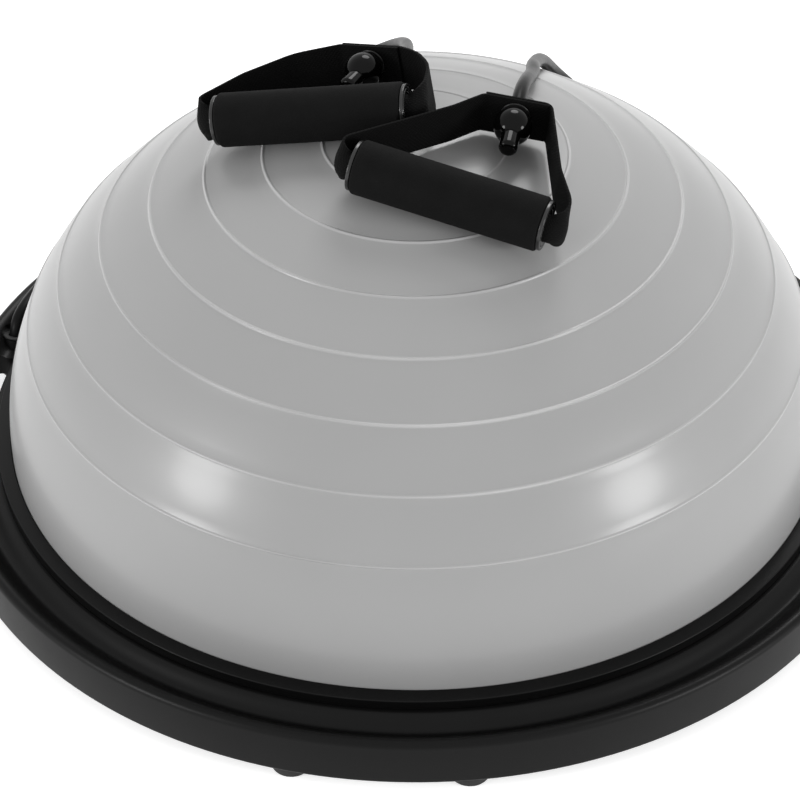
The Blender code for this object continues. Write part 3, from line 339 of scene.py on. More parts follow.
def tube_route(word):
    """Points along a tube, from the ball under the base to the stopper in front of the strap."""
    spec = HANDLES[word]
    bush = bush_frame(spec["side"])
    hole = handle_frame(word) @ hole_frame(spec)
    bottom = bush @ Vector((0.0, 0.0, ANCHOR_FACE + GAP))
    start = bush @ Vector((0.0, 0.0, TUBE_LEAD))
    end = hole @ Vector((0.0, 0.0, HANDLE_LEAD))
    front = hole @ Vector((0.0, 0.0, HANDLE_FACE + GAP))
    chosen = [start] + [dome_point(*place) for place in spec["tube"]] + [end]
    curve = smooth_curve(chosen, (start - bottom).normalized(), (front - end).normalized())
    return [bottom] + even_steps(curve, TUBE_STEP) + [front]


routes = {word: tube_route(word) for word in HANDLES}
for word, route in routes.items():
    print(word, "tube:", round(run_lengths(route)[-1], 3), "m,", len(route), "points")

# %% [markdown]
# ## The round of a tube
#
# A tube is round and equally thick all along. A circle could be extruded from point to point and
# turned at each, which is slow work with a long tube. A curve with a bevel depth does the same by
# itself. It is made a mesh at once, and its caps are welded on, so that the piece is closed.

# %% Make the tubes
TUBE_RADIUS = 0.00475
TUBE_ROUND_STEPS = 8
WELD_DISTANCE = 0.00001


def only(piece):
    """Select one piece alone and make it the active one, as operators act on what is selected."""
    bpy.ops.object.select_all(action="DESELECT")
    piece.select_set(True)
    bpy.context.view_layer.objects.active = piece


def tube_mesh(name, route, radius):
    curve = bpy.data.curves.new(name, "CURVE")
    curve.dimensions = "3D"
    curve.bevel_depth = radius
    curve.bevel_resolution = TUBE_ROUND_STEPS
    curve.use_fill_caps = True
    spline = curve.splines.new("POLY")
    spline.points.add(len(route) - 1)
    for point, place in zip(spline.points, route):
        point.co = (*place, 1.0)
    spline.use_smooth = True
    tube = bpy.data.objects.new(name, curve)
    bpy.context.scene.collection.objects.link(tube)
    only(tube)
    bpy.ops.object.convert(target="MESH")
    bpy.ops.object.mode_set(mode="EDIT")
    bpy.ops.mesh.select_all(action="SELECT")
    bpy.ops.mesh.remove_doubles(threshold=WELD_DISTANCE)
    bpy.ops.mesh.normals_make_consistent(inside=False)
    bpy.ops.object.mode_set(mode="OBJECT")
    bpy.ops.object.shade_smooth()
    return bpy.context.object


tubes = {word: tube_mesh(word + "_pull_tube", route, TUBE_RADIUS) for word, route in routes.items()}
for tube in tubes.values():
    print(tube.name + ":", len(tube.data.polygons), "faces")

# %% [markdown]
# ## Tubes in place of their solids
#
# Each tube crosses the hinge on which its handle lifts. It could be cut in two there, but a gap would
# open. Here each tube stays one piece: its place is put into its mesh, and the solid that it stands for
# is hidden.


for word, tube in tubes.items():
    route = routes[word]
    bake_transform(tube)
    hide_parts(word + "_tube")
    bush_frame(HANDLES[word]["side"]).translation

# %% [markdown]
# ## Studio
#
# The photo is a plain product shot: white all round, and soft light from everywhere. Three lamps stand
# out. A wide softbox behind the ball shines through the loops, glares on the dome inside them and
# leaves soft shadows in front of the grips. Two lamps low at the sides leave the two pale glows. A
# bright room could be built from panels. It is simpler to let the world be white where the camera and
# the reflections see it, and dimmer as a light, so that nothing washes out.

# %% Light the studio
WHITE = (1.0, 1.0, 1.0, 1.0)
WORLD_LIGHT = 0.55
LAMPS = {
    "left_lamp": {"azimuth": -58, "elevation": 18, "aim": (-0.119, -0.218, 0.158), "power": 20, "size": 0.7},
    "right_lamp": {"azimuth": 66, "elevation": 15, "aim": (0.152, -0.201, 0.152), "power": 21, "size": 0.7},
    "rear_softbox": {"azimuth": 174, "elevation": 46, "aim": (0.045, -0.01, 0.273), "power": 20, "size": 1.1},
}
LAMP_DISTANCE = 2.2
FLOOR_SIZE = 60.0


def add_node(tree, kind, **settings):
    made = tree.nodes.new(kind)
    for word, value in settings.items():
        setattr(made, word, value)
    return made


def seen_directly(tree):
    """1 for rays from the camera, a reflection or a clear surface, and 0 for rays that carry light."""
    path = add_node(tree, "ShaderNodeLightPath")
    either = add_node(tree, "ShaderNodeMath", operation="MAXIMUM")
    tree.links.new(path.outputs["Is Camera Ray"], either.inputs[0])
    tree.links.new(path.outputs["Is Glossy Ray"], either.inputs[1])
    result = add_node(tree, "ShaderNodeMath", operation="MAXIMUM")
    tree.links.new(either.outputs[0], result.inputs[0])
    tree.links.new(path.outputs["Is Transmission Ray"], result.inputs[1])
    return result.outputs[0]


world = bpy.data.worlds.new("studio")
world.use_nodes = True
bpy.context.scene.world = world
tree = world.node_tree
light = tree.nodes["Background"]
light.inputs["Color"].default_value = WHITE
light.inputs["Strength"].default_value = WORLD_LIGHT
shown = add_node(tree, "ShaderNodeBackground")
shown.inputs["Color"].default_value = WHITE
mix = add_node(tree, "ShaderNodeMixShader")
tree.links.new(seen_directly(tree), mix.inputs[0])
tree.links.new(light.outputs[0], mix.inputs[1])
tree.links.new(shown.outputs[0], mix.inputs[2])
tree.links.new(mix.outputs[0], tree.nodes["World Output"].inputs["Surface"])

for name, lamp in LAMPS.items():
    rise = math.radians(lamp["elevation"])
    towards = out_from_axis(lamp["azimuth"]) * math.cos(rise) + Vector((0.0, 0.0, math.sin(rise)))
    place = Vector(lamp["aim"]) + towards * LAMP_DISTANCE
    facing = towards.to_track_quat("Z", "Y").to_euler()
    bpy.ops.object.light_add(type="AREA", location=place, rotation=facing)
    made = bpy.context.object
    made.name = name
    made.data.shape = "DISK"
    made.data.size = lamp["size"]
    made.data.energy = lamp["power"]
    print(name, "at", [round(part, 2) for part in place])

# %% [markdown]
# ## Floor
#
# The ball stands on white paper that runs on out of sight. A curved backdrop would need an edge that
# no view shows. A very wide plane is simpler. Its paint takes the lamps' light and the ball's shadow,
# and a glow that only the camera and the reflections see brings it up to the white of the world.

# %% Lay the floor
FLOOR_GLOW = 0.65
FLOOR_PAINT = 0.8

bpy.ops.object.select_all(action="DESELECT")
bpy.ops.mesh.primitive_plane_add(size=FLOOR_SIZE)
floor = bpy.context.object
floor.name = "studio_floor"
paper = bpy.data.materials.new("white_paper")
paper.use_nodes = True
tree = paper.node_tree
painted = tree.nodes["Principled BSDF"]
painted.inputs["Base Color"].default_value = (FLOOR_PAINT, FLOOR_PAINT, FLOOR_PAINT, 1.0)
painted.inputs["Roughness"].default_value = 0.9
painted.inputs["Specular IOR Level"].default_value = 0.1
glow = add_node(tree, "ShaderNodeEmission")
strength = add_node(tree, "ShaderNodeMath", operation="MULTIPLY")
strength.inputs[1].default_value = FLOOR_GLOW
tree.links.new(seen_directly(tree), strength.inputs[0])
tree.links.new(strength.outputs[0], glow.inputs["Strength"])
both = add_node(tree, "ShaderNodeAddShader")
tree.links.new(painted.outputs[0], both.inputs[0])
tree.links.new(glow.outputs[0], both.inputs[1])
tree.links.new(both.outputs[0], tree.nodes["Material Output"].inputs["Surface"])
floor.data.materials.append(paper)
bpy.context.scene.view_settings.view_transform = "Standard"
print("floor:", FLOOR_SIZE, "m wide")

# %% [markdown]
# ## Finishes
#
# No surface of the real ball is one flat colour. Moulded plastic has a fine grain, rubber a soft
# bloom, foam its cells and webbing its weave. Photos of such surfaces could be wrapped round the
# pieces, but they would stretch and show seams. Here every finish is computed from the place on the
# piece, so it has the real scale everywhere. The helpers come first: a noise whose clouds have a real
# width, and a grey that follows them.

# %% Make greys and clouds
def linear(shade):
    """Turn a screen grey from 0 to 1 into the linear value that a shader takes."""
    return shade / 12.92 if shade <= 0.04045 else ((shade + 0.055) / 1.055) ** 2.4


def grey(shade):
    value = linear(shade)
    return (value, value, value, 1.0)


def noise_on(tree, places, size, detail=2.0):
    """A cloudy pattern whose clouds are about as wide as size."""
    noise = add_node(tree, "ShaderNodeTexNoise")
    noise.inputs["Scale"].default_value = 1.0 / size
    noise.inputs["Detail"].default_value = detail
    tree.links.new(places, noise.inputs["Vector"])
    return noise.outputs["Fac"]


def spread(tree, value, low, high):
    """Stretch a value from 0 to 1 over a range, and return where it comes out."""
    between = add_node(tree, "ShaderNodeMapRange")
    between.inputs["To Min"].default_value = low
    between.inputs["To Max"].default_value = high
    tree.links.new(value, between.inputs["Value"])
    return between.outputs["Result"]


DRIFT_START = 0.3
DRIFT_END = 0.7


def drift(tree, value, dark, pale):
    """Blend two greys by a value, over the middle of its range, where a cloudy pattern lies."""
    ramp = add_node(tree, "ShaderNodeValToRGB")
    for stop, place, shade in zip(ramp.color_ramp.elements, (DRIFT_START, DRIFT_END), (dark, pale)):
        stop.position = place
        stop.color = grey(shade)
    tree.links.new(value, ramp.inputs["Fac"])
    return ramp.outputs["Color"]


print("a screen grey of 0.5 is", round(linear(0.5), 3), "to a shader")

# %% [markdown]
# ## The three parts of a finish
#
# Nearly every finish here has the same three parts: a grey that drifts a little, a sheen that drifts a
# little, and a bump of a real depth. Each material could be wired up by itself. One function wires them
# all alike, so that plastic, rubber and metal differ in their numbers alone.

# %% Put a finish together
def bump_from(tree, height, depth, below=None):
    """Raise the surface by a height from 0 to 1 times a depth, on top of another bump."""
    bump = add_node(tree, "ShaderNodeBump")
    bump.inputs["Distance"].default_value = depth
    tree.links.new(height, bump.inputs["Height"])
    if below is not None:
        tree.links.new(below, bump.inputs["Normal"])
    return bump.outputs["Normal"]


def places_on_piece(tree):
    return add_node(tree, "ShaderNodeTexCoord").outputs["Object"]


def finish(name, shade, change, patch, rough, rough_change, grain, depth, specular=0.5, metallic=0.0):
    """A finish with a fine grain, whose grey and roughness drift in clouds as wide as patch."""
    material = bpy.data.materials.new(name)
    material.use_nodes = True
    tree = material.node_tree
    shader = tree.nodes["Principled BSDF"]
    shader.inputs["Specular IOR Level"].default_value = specular
    shader.inputs["Metallic"].default_value = metallic
    places = places_on_piece(tree)
    clouds = noise_on(tree, places, patch)
    tree.links.new(drift(tree, clouds, shade - change, shade + change), shader.inputs["Base Color"])
    sheen = spread(tree, noise_on(tree, places, patch / 3), rough - rough_change, rough + rough_change)
    tree.links.new(sheen, shader.inputs["Roughness"])
    normal = bump_from(tree, noise_on(tree, places, grain), depth)
    tree.links.new(normal, shader.inputs["Normal"])
    return material


# %% [markdown]
# ## Plain finishes
#
# The base is black plastic with a fine grain, the feet and the plug are rubber, the stopper balls are
# polished hard plastic, and the tubes are latex that shines less than the dome. Each could be built
# node by node. They differ only in numbers, so one function makes them all from a list: the grey and
# the roughness, how far both drift, the clouds and the grain, and how much light comes straight back.

# %% Make the plain finishes
PLAIN_FINISHES = {
    "base_plastic": dict(
        shade=0.04, change=0.006, patch=0.08, rough=0.38, rough_change=0.05, grain=0.0007, depth=0.00006,
        specular=0.14,
    ),
    "foot_rubber": dict(
        shade=0.12, change=0.012, patch=0.01, rough=0.68, rough_change=0.06, grain=0.0006, depth=0.00006
    ),
    "plug_rubber": dict(
        shade=0.2, change=0.01, patch=0.01, rough=0.5, rough_change=0.05, grain=0.0005, depth=0.00004
    ),
    "tube_latex": dict(
        shade=0.08, change=0.012, patch=0.02, rough=0.36, rough_change=0.05, grain=0.0008, depth=0.00003,
        specular=0.08,
    ),
    "stopper_plastic": dict(
        shade=0.022, change=0.004, patch=0.01, rough=0.09, rough_change=0.03, grain=0.002, depth=0.00002,
        specular=0.14,
    ),
    "eyelet_metal": dict(
        shade=0.12, change=0.01, patch=0.005, rough=0.3, rough_change=0.06, grain=0.0006, depth=0.00003
    ),
    "core_plastic": dict(
        shade=0.11, change=0.008, patch=0.01, rough=0.25, rough_change=0.05, grain=0.0008, depth=0.00003
    ),
    "screw_steel": dict(
        shade=0.6, change=0.03, patch=0.004, rough=0.32, rough_change=0.06, grain=0.0003, depth=0.00002,
        metallic=1.0,
    ),
}
finishes = {name: finish(name, **values) for name, values in PLAIN_FINISHES.items()}
for word, tube in tubes.items():
    tube.data.materials.append(finishes["tube_latex"])
print("plain finishes:", len(finishes))

# %% [markdown]
# ## Rubber of the dome
#
# The dome is grey rubber with a satin skin. The crests of its raised rings get a painted highlight, paler
# than the rubber and stronger in some places than in others, so that the rings fade in and out. It could be
# painted on as an image. Here the mesh of the dome will say where its crests are, as an attribute, and a
# slow noise says how strong the painted highlight is at each place. A thin coat gives the soft glare, and a
# long, low swell keeps the glare from looking like a mirror's.

# %% Make the rubber of the dome
# Painted highlight on the ring crests: its palest grey, the width of its clouds and the range of its
# strength.
PAINTED_RING_HIGHLIGHT = 0.78
HIGHLIGHT_PATCH = 0.16
LEAST_PAINTED_HIGHLIGHT = -0.9
MOST_PAINTED_HIGHLIGHT = 2.1
SWELL_SPAN = 0.09
SWELL_DEPTH = 0.0006


def dome_rubber():
    """Grey rubber with a satin coat. The crests of the raised rings get a painted highlight, stronger here
    and there.
    """
    material = finish(
        "dome_rubber",
        shade=0.645,
        change=0.006,
        patch=0.12,
        rough=0.38,
        rough_change=0.03,
        grain=0.0009,
        depth=0.00002,
        specular=0.36,
    )
    tree = material.node_tree
    shader = tree.nodes["Principled BSDF"]
    places = places_on_piece(tree)
    # A painted highlight pales the crests of the rings, stronger in some clouds than in others.
    crest = add_node(tree, "ShaderNodeAttribute", attribute_name="ring_crest")
    crest_highlight = add_node(tree, "ShaderNodeMix", data_type="RGBA")
    crest_highlight.inputs["B"].default_value = grey(PAINTED_RING_HIGHLIGHT)
    highlight_strength = spread(tree, noise_on(tree, places, HIGHLIGHT_PATCH, 1.0), LEAST_PAINTED_HIGHLIGHT, MOST_PAINTED_HIGHLIGHT)
    highlight_share = add_node(tree, "ShaderNodeMath", operation="MULTIPLY", use_clamp=True)
    tree.links.new(crest.outputs["Fac"], highlight_share.inputs[0])
    tree.links.new(highlight_strength, highlight_share.inputs[1])
    tree.links.new(highlight_share.outputs[0], crest_highlight.inputs["Factor"])
    tree.links.new(shader.inputs["Base Color"].links[0].from_socket, crest_highlight.inputs["A"])
    tree.links.new(crest_highlight.outputs["Result"], shader.inputs["Base Color"])
    grain = shader.inputs["Normal"].links[0].from_socket
    swell = bump_from(tree, noise_on(tree, places, SWELL_SPAN, 1.0), SWELL_DEPTH, grain)
    tree.links.new(swell, shader.inputs["Normal"])
    shader.inputs["Coat Weight"].default_value = 0.25
    shader.inputs["Coat Roughness"].default_value = 0.19
    return material


finishes["dome_rubber"] = dome_rubber()
print("rings are", PAINTED_RING_HIGHLIGHT, "at their palest")

# %% [markdown]
# ## Webbing
#
# Straps like these are nylon webbing, often woven in a herringbone: yarns slant one way on one half
# and the other way on the other, and rows run along the strap. An image of cloth would need a map of
# its own size. Two wave textures make the weave from the strap's map, which is in metres, so the yarns
# keep their real width.

# %% Weave the webbing
STRAP_WIDTH = 0.030
YARN_PITCH = 0.0014
YARN_DARK = 0.02
YARN_PALE = 0.048
WEAVE_DEPTH = 0.00025


def wave_scale(pitch):
    """The scale at which a wave texture repeats about once in a pitch."""
    return 1.0 / (math.pi * pitch)


def webbing():
    """Nylon webbing: two mirrored sets of slanting yarns, laid out on the strap's own map."""
    material = bpy.data.materials.new("webbing")
    material.use_nodes = True
    tree = material.node_tree
    shader = tree.nodes["Principled BSDF"]
    flat = add_node(tree, "ShaderNodeUVMap", uv_map="strap_map").outputs["UV"]
    parts = add_node(tree, "ShaderNodeSeparateXYZ")
    tree.links.new(flat, parts.inputs[0])
    off_middle = add_node(tree, "ShaderNodeMath", operation="SUBTRACT")
    off_middle.inputs[1].default_value = STRAP_WIDTH / 2
    tree.links.new(parts.outputs["Y"], off_middle.inputs[0])
    folded = add_node(tree, "ShaderNodeMath", operation="ABSOLUTE")
    tree.links.new(off_middle.outputs[0], folded.inputs[0])
    slanted = add_node(tree, "ShaderNodeMath", operation="ADD")
    tree.links.new(parts.outputs["X"], slanted.inputs[0])
    tree.links.new(folded.outputs[0], slanted.inputs[1])
    across = add_node(tree, "ShaderNodeCombineXYZ")
    tree.links.new(slanted.outputs[0], across.inputs["X"])
    tree.links.new(parts.outputs["Y"], across.inputs["Y"])
    ribs = add_node(tree, "ShaderNodeTexWave", wave_profile="SIN", bands_direction="X")
    ribs.inputs["Scale"].default_value = wave_scale(2 * YARN_PITCH)
    ribs.inputs["Distortion"].default_value = 0.6
    ribs.inputs["Detail Scale"].default_value = 3.0
    tree.links.new(across.outputs[0], ribs.inputs["Vector"])
    rows = add_node(tree, "ShaderNodeTexWave", wave_profile="SIN", bands_direction="Y")
    rows.inputs["Scale"].default_value = wave_scale(YARN_PITCH)
    tree.links.new(across.outputs[0], rows.inputs["Vector"])
    weave = add_node(tree, "ShaderNodeMath", operation="MULTIPLY")
    tree.links.new(ribs.outputs["Fac"], weave.inputs[0])
    tree.links.new(rows.outputs["Fac"], weave.inputs[1])
    tree.links.new(drift(tree, weave.outputs[0], YARN_DARK, YARN_PALE), shader.inputs["Base Color"])
    tree.links.new(bump_from(tree, weave.outputs[0], WEAVE_DEPTH), shader.inputs["Normal"])
    shader.inputs["Roughness"].default_value = 0.85
    shader.inputs["Specular IOR Level"].default_value = 0.12
    return material


finishes["webbing"] = webbing()
print("yarns are", YARN_PITCH * 1000, "mm wide")

# %% [markdown]
# ## Foam of the grips
#
# The sleeves of the grips are dark foam, a mass of tiny cells with a dull skin. The cells could be
# dented into the mesh, but there would be thousands of them. A Voronoi texture is a pattern of cells,
# and its bump is enough for dents under a millimetre wide.

# %% Foam the grips
FOAM_CELL = 0.0008
FOAM_DEPTH = 0.00012


def foam():
    material = finish(
        "foam",
        shade=0.062,
        change=0.006,
        patch=0.02,
        rough=0.85,
        rough_change=0.05,
        grain=0.0006,
        depth=0.0001,
        specular=0.1,
    )
    tree = material.node_tree
    shader = tree.nodes["Principled BSDF"]
    cells = add_node(tree, "ShaderNodeTexVoronoi")
    cells.inputs["Scale"].default_value = 1.0 / FOAM_CELL
    tree.links.new(places_on_piece(tree), cells.inputs["Vector"])
    grain = shader.inputs["Normal"].links[0].from_socket
    tree.links.new(bump_from(tree, cells.outputs["Distance"], FOAM_DEPTH, grain), shader.inputs["Normal"])
    return material


finishes["foam"] = foam()
print("finishes:", sorted(finishes))

# %% [markdown]
# ## How a turned piece is made
#
# The dome, the base, the ring, the feet, the grips and the stopper balls are all round about an axis.
# Each could start as a cylinder or a sphere and be pushed into shape, but a half outline says it in
# one go. One vertex is extruded along the outline, corner by corner, and the line is spun round the Z
# axis. Corners are rounded in the outline first, so the rounds come out clean.

# %% Round the corners of an outline
TINY = 0.000002
ROUND_STEP = 12.0


def turned_flat(vector, angle):
    """A flat vector turned by an angle in radians, from X towards Y."""
    cosine = math.cos(angle)
    sine = math.sin(angle)
    return Vector((vector.x * cosine - vector.y * sine, vector.x * sine + vector.y * cosine))


def rounded_corner(before, corner, after, radius):
    """Points that round one corner, on an arc that touches both of its sides."""
    into = (corner - before).normalized()
    away = (after - corner).normalized()
    turn = math.atan2(into.x * away.y - into.y * away.x, into.dot(away))
    half = math.tan(abs(turn) / 2)
    if half < TINY or radius < TINY:
        return [corner]
    shorter = min((corner - before).length, (after - corner).length)
    tangent = min(radius * half, shorter / 2 - TINY)
    start = corner - into * tangent
    spoke = turned_flat(into, math.copysign(math.pi / 2, -turn)) * (tangent / half)
    count = max(2, round(math.degrees(abs(turn)) / ROUND_STEP))
    return [start - spoke + turned_flat(spoke, turn * part / count) for part in range(count + 1)]


def rounded_path(points, radii):
    """A line with each of its inner corners rounded by its own radius."""
    path = [points[0]]
    for index, radius in enumerate(radii):
        path += rounded_corner(*points[index : index + 3], radius)
    path.append(points[-1])
    return path


def rounded_loop(corners, radius):
    """A closed outline with every corner rounded alike. It starts and ends mid way along a side."""
    flat = [Vector(corner) for corner in corners]
    middle = (flat[-1] + flat[0]) / 2
    return rounded_path([middle] + flat + [middle], [radius] * len(flat))


def arc_points(centre_x, centre_y, radius, start, end, count):
    """Points of an arc, from one angle to another, in degrees from +X towards +Y."""
    points = []
    for index in range(count + 1):
        angle = math.radians(start + (end - start) * index / count)
        points.append((centre_x + radius * math.cos(angle), centre_y + radius * math.sin(angle)))
    return points


print("rounds step", ROUND_STEP, "degrees at a time")

# %% [markdown]
# ## Spinning the outline
#
# The spin operator sweeps whatever is selected round an axis, so the outline needs only vertices and
# edges. They could be a mesh made from a list, but a small plane merged at its centre gives a first
# vertex, and extrude does the rest as it would by hand. After a full turn the first and the last copy
# of the line meet and are merged, and so are the points on the axis, so no seam or pole stays open.

# %% Spin an outline into a piece
SHARP_ANGLE = 34.0
SEED_SIZE = 0.01


def drawn(name, points):
    """A line of edges through some points, in edit mode: one vertex, extruded from point to point."""
    bpy.ops.object.select_all(action="DESELECT")
    bpy.ops.mesh.primitive_plane_add(size=SEED_SIZE)
    piece = bpy.context.object
    piece.name = name
    bpy.ops.object.mode_set(mode="EDIT")
    bpy.ops.mesh.select_all(action="SELECT")
    bpy.ops.mesh.merge(type="CENTER")
    bpy.ops.transform.translate(value=points[0])
    for before, after in zip(points, points[1:]):
        step = [end - start for start, end in zip(before, after)]
        bpy.ops.mesh.extrude_region_move(TRANSFORM_OT_translate={"value": step})
    bpy.ops.mesh.select_all(action="SELECT")
    return piece


def tidy_mesh():
    """Merge what coincides, turn all faces outwards and shade smoothly but for sharp edges."""
    bpy.ops.mesh.select_all(action="SELECT")
    bpy.ops.mesh.remove_doubles(threshold=TINY)
    bpy.ops.mesh.normals_make_consistent(inside=False)
    bpy.ops.object.mode_set(mode="OBJECT")
    bpy.ops.object.shade_smooth_by_angle(angle=math.radians(SHARP_ANGLE))


def spun(name, outline, steps):
    """Draw an outline of (radius, height) points and spin it about Z."""
    piece = drawn(name, [(radius, 0.0, height) for radius, height in outline])
    bpy.ops.mesh.spin(steps=steps, angle=math.tau, center=(0.0, 0.0, 0.0), axis=(0.0, 0.0, 1.0))
    tidy_mesh()
    return piece


print("edges sharper than", SHARP_ANGLE, "degrees stay sharp")

# %% [markdown]
# ## Placing and dressing a piece
#
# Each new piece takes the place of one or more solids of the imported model, gets its finish, and moves
# with one body of it. These steps could be written out for every piece. They are the same each time, so
# one function does them and prints what it dressed. Another puts a piece's place into its mesh, since a
# finish is computed from the mesh and would slide if the object were moved.

# %% Place and dress a piece
def smoothed(piece):
    """Shade a cut piece smoothly again but for its sharp edges."""
    only(piece)
    bpy.ops.object.shade_smooth_by_angle(angle=math.radians(SHARP_ANGLE))
    return piece


def placed(piece, place):
    """Move a piece, and put the move in its mesh, so that its object stays at the origin."""
    piece.matrix_world = place
    only(piece)
    bpy.ops.object.transform_apply(location=True, rotation=True, scale=True)
    return piece


def dress(piece, slot, body, *nodes):
    """Give a piece its finish, the body that it moves with and the solids that it stands for."""
    piece.data.materials.clear()
    piece.data.materials.append(finishes[slot])
    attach(piece, body)
    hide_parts(*nodes)
    print(piece.name + ":", len(piece.data.polygons), "faces")
    return piece


# %% [markdown]
# ## Rings on the dome
#
# Seven fine rings are raised on the dome's skin, each of them one low, round wave. They could be
# loops put in by hand. But the steps between them are measured along the skin, and grow a little from
# ring to ring. So a loop walks down the skin in small steps and notes at what angle each ring stands.
# The outline then gets marks all the way down, closer together on the rings.

# %% Find where the rings stand
RING_COUNT = 7
FIRST_RING_ARC = 0.061
RING_ARC_STEP = 0.0396
RING_ARC_GROWTH = 0.0008
RING_WIDTH = 0.0034
RING_HEIGHT = 0.0008
RING_PARTS = 6
SKIN_STEP = 1.5
SEARCH_STEP = 0.05


def meridian_at_arc(arc):
    """The angle down from the top at which the skin has run a given length."""
    angle = 0.0
    run = 0.0
    step = math.radians(SEARCH_STEP)
    while run < arc:
        middle = angle + step / 2
        run += step * math.hypot(DOME_RADIUS * math.cos(middle), DOME_RISE * math.sin(middle))
        angle += step
    return math.degrees(angle)


def ring_meridians():
    arc = FIRST_RING_ARC
    found = []
    for index in range(RING_COUNT):
        found.append(meridian_at_arc(arc))
        arc += RING_ARC_STEP + RING_ARC_GROWTH * (index + 1)
    return found


def skin_marks():
    """Meridians down the skin with the lift of the skin at each, closer together on the rings."""
    half = math.degrees(RING_WIDTH / 2 / DOME_RADIUS)
    edge = 90.0 + math.degrees(math.asin(DOME_CENTRE_LIFT / DOME_RISE))
    marks = [(0.0, 0.0)]
    for middle in ring_meridians() + [edge + half]:
        start = marks[-1][0]
        count = max(1, round((middle - half - start) / SKIN_STEP))
        marks += [(start + (middle - half - start) * part / count, 0.0) for part in range(1, count + 1)]
        if middle < edge:
            for part in range(1 - RING_PARTS, RING_PARTS + 1):
                wave = (1 + math.cos(math.pi * part / RING_PARTS)) / 2
                marks.append((middle + half * part / RING_PARTS, RING_HEIGHT * wave))
    return marks


print("marks down the skin:", len(skin_marks()))

# %% [markdown]
# ## The dome
#
# The bladder is moulded in one piece: the skin with its rings, a bead round its edge that the clamp
# ring holds, a flat bottom, and a valve neck in the middle. A ball could be flattened and cut, and the
# rest joined on. Here one half outline runs down the skin, round the bead and the neck, and back up the
# inner side. So the wall has its real thickness, which shows in the valve when the plug is out.

# %% Draw the dome's outline and spin it
BLADDER_WALL = 0.003
BEAD_OUT = 0.0035
BEAD_HEIGHT = 0.004
BEAD_ROUND = 0.0006
NECK_RADIUS = 0.011
NECK_LENGTH = 0.021
VALVE_BORE = 0.0048
DOME_STEPS = 256
INNER_SKIN_STEPS = 12
BEAD_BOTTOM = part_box("retaining_ring")[0].z
BEAD_TOP = BEAD_BOTTOM + BEAD_HEIGHT
NECK_BOTTOM = BEAD_BOTTOM - NECK_LENGTH
EDGE_RADIUS = DOME_RADIUS * math.sqrt(1.0 - (DOME_CENTRE_LIFT / DOME_RISE) ** 2)
BEAD_RADIUS = EDGE_RADIUS + BEAD_OUT


def dome_outline():
    outline = []
    for meridian, lift in skin_marks():
        point = dome_point(90.0, meridian, lift)
        outline.append((point.x, point.z))
    floor_top = BEAD_BOTTOM + BLADDER_WALL
    inner_rise = DOME_RISE - BLADDER_WALL
    inner_radius = DOME_RADIUS - BLADDER_WALL
    inner_end = 90.0 + math.degrees(math.asin(DOME_CENTRE_LIFT / inner_rise))
    bead = [
        outline[-1],
        (EDGE_RADIUS, BEAD_TOP),
        (BEAD_RADIUS, BEAD_TOP),
        (BEAD_RADIUS, BEAD_BOTTOM),
        (NECK_RADIUS, BEAD_BOTTOM),
        (NECK_RADIUS, NECK_BOTTOM),
        (VALVE_BORE, NECK_BOTTOM),
        (VALVE_BORE, floor_top),
        (inner_radius - BLADDER_WALL, floor_top),
    ]
    corners = [Vector(point) for point in bead]
    outline = outline[:-1] + rounded_path(corners, [BEAD_ROUND] * (len(corners) - 2))
    for index in range(INNER_SKIN_STEPS + 1):
        down = math.radians(inner_end * (1 - index / INNER_SKIN_STEPS))
        outline.append((inner_radius * math.sin(down), DOME_CENTRE + inner_rise * math.cos(down)))
    return outline


dome = spun("dome_skin", dome_outline(), DOME_STEPS)
dress(dome, "dome_rubber", "base", "dome_bladder")

# %% [markdown]
# ## Where the dome gets its painted highlight
#
# The finish of the dome paints a highlight on the crests of the rings, so it has to know where they are. It
# could work that out from the height with a dozen nodes. A number on each vertex is simpler: 1 on a crest,
# less towards a ring's foot, and 0 elsewhere and all over the inside.

# %% Mark the crests of the rings for the painted highlight
OUTSIDE = 0.995
crests = ring_meridians()
half_ring = math.degrees(RING_WIDTH / 2 / DOME_RADIUS)
mark = dome.data.attributes.new("ring_crest", "FLOAT", "POINT")
for corner, value in zip(dome.data.vertices, mark.data):
    across = math.hypot(corner.co.x, corner.co.y) / DOME_RADIUS
    up = (corner.co.z - DOME_CENTRE) / DOME_RISE
    meridian = math.degrees(math.atan2(across, up))
    nearest = min(abs(meridian - crest) for crest in crests)
    value.value = max(0.0, 1.0 - nearest / half_ring) if math.hypot(across, up) > OUTSIDE else 0.0
print("ring crests at", [round(crest, 1) for crest in crests], "degrees down")

# %% [markdown]
# ## The channel of the base
#
# The top of the base is a wide dish: a land that the dome sits on, a channel round it, and a round
# rim. In section the channel is a soft trough. Bevelled steps would leave flat stretches between their
# rounds. Half a wave down and half a wave up, as cosines, meet level at the bottom and run out level at
# both tops.

# %% Shape the channel of the base
BASE_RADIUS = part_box("base_platform")[1].x
RIM_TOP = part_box("base_platform")[1].z
RIM_ROUND = 0.0045
DECK_TOP = BEAD_BOTTOM - GAP
LAND_RADIUS = 0.2915
CHANNEL_RADIUS = 0.304
CHANNEL_RISE = 0.023


def channel_height(radius):
    """Height of the top surface in the channel between the land and the rim's crest."""
    bottom = FOOT_HEIGHT + CHANNEL_RISE
    crest = BASE_RADIUS - RIM_ROUND
    if radius <= CHANNEL_RADIUS:
        share = (radius - LAND_RADIUS) / (CHANNEL_RADIUS - LAND_RADIUS)
        return bottom + (DECK_TOP - bottom) * (1 + math.cos(math.pi * share)) / 2
    share = (radius - CHANNEL_RADIUS) / (crest - CHANNEL_RADIUS)
    return bottom + (RIM_TOP - bottom) * (1 - math.cos(math.pi * share)) / 2


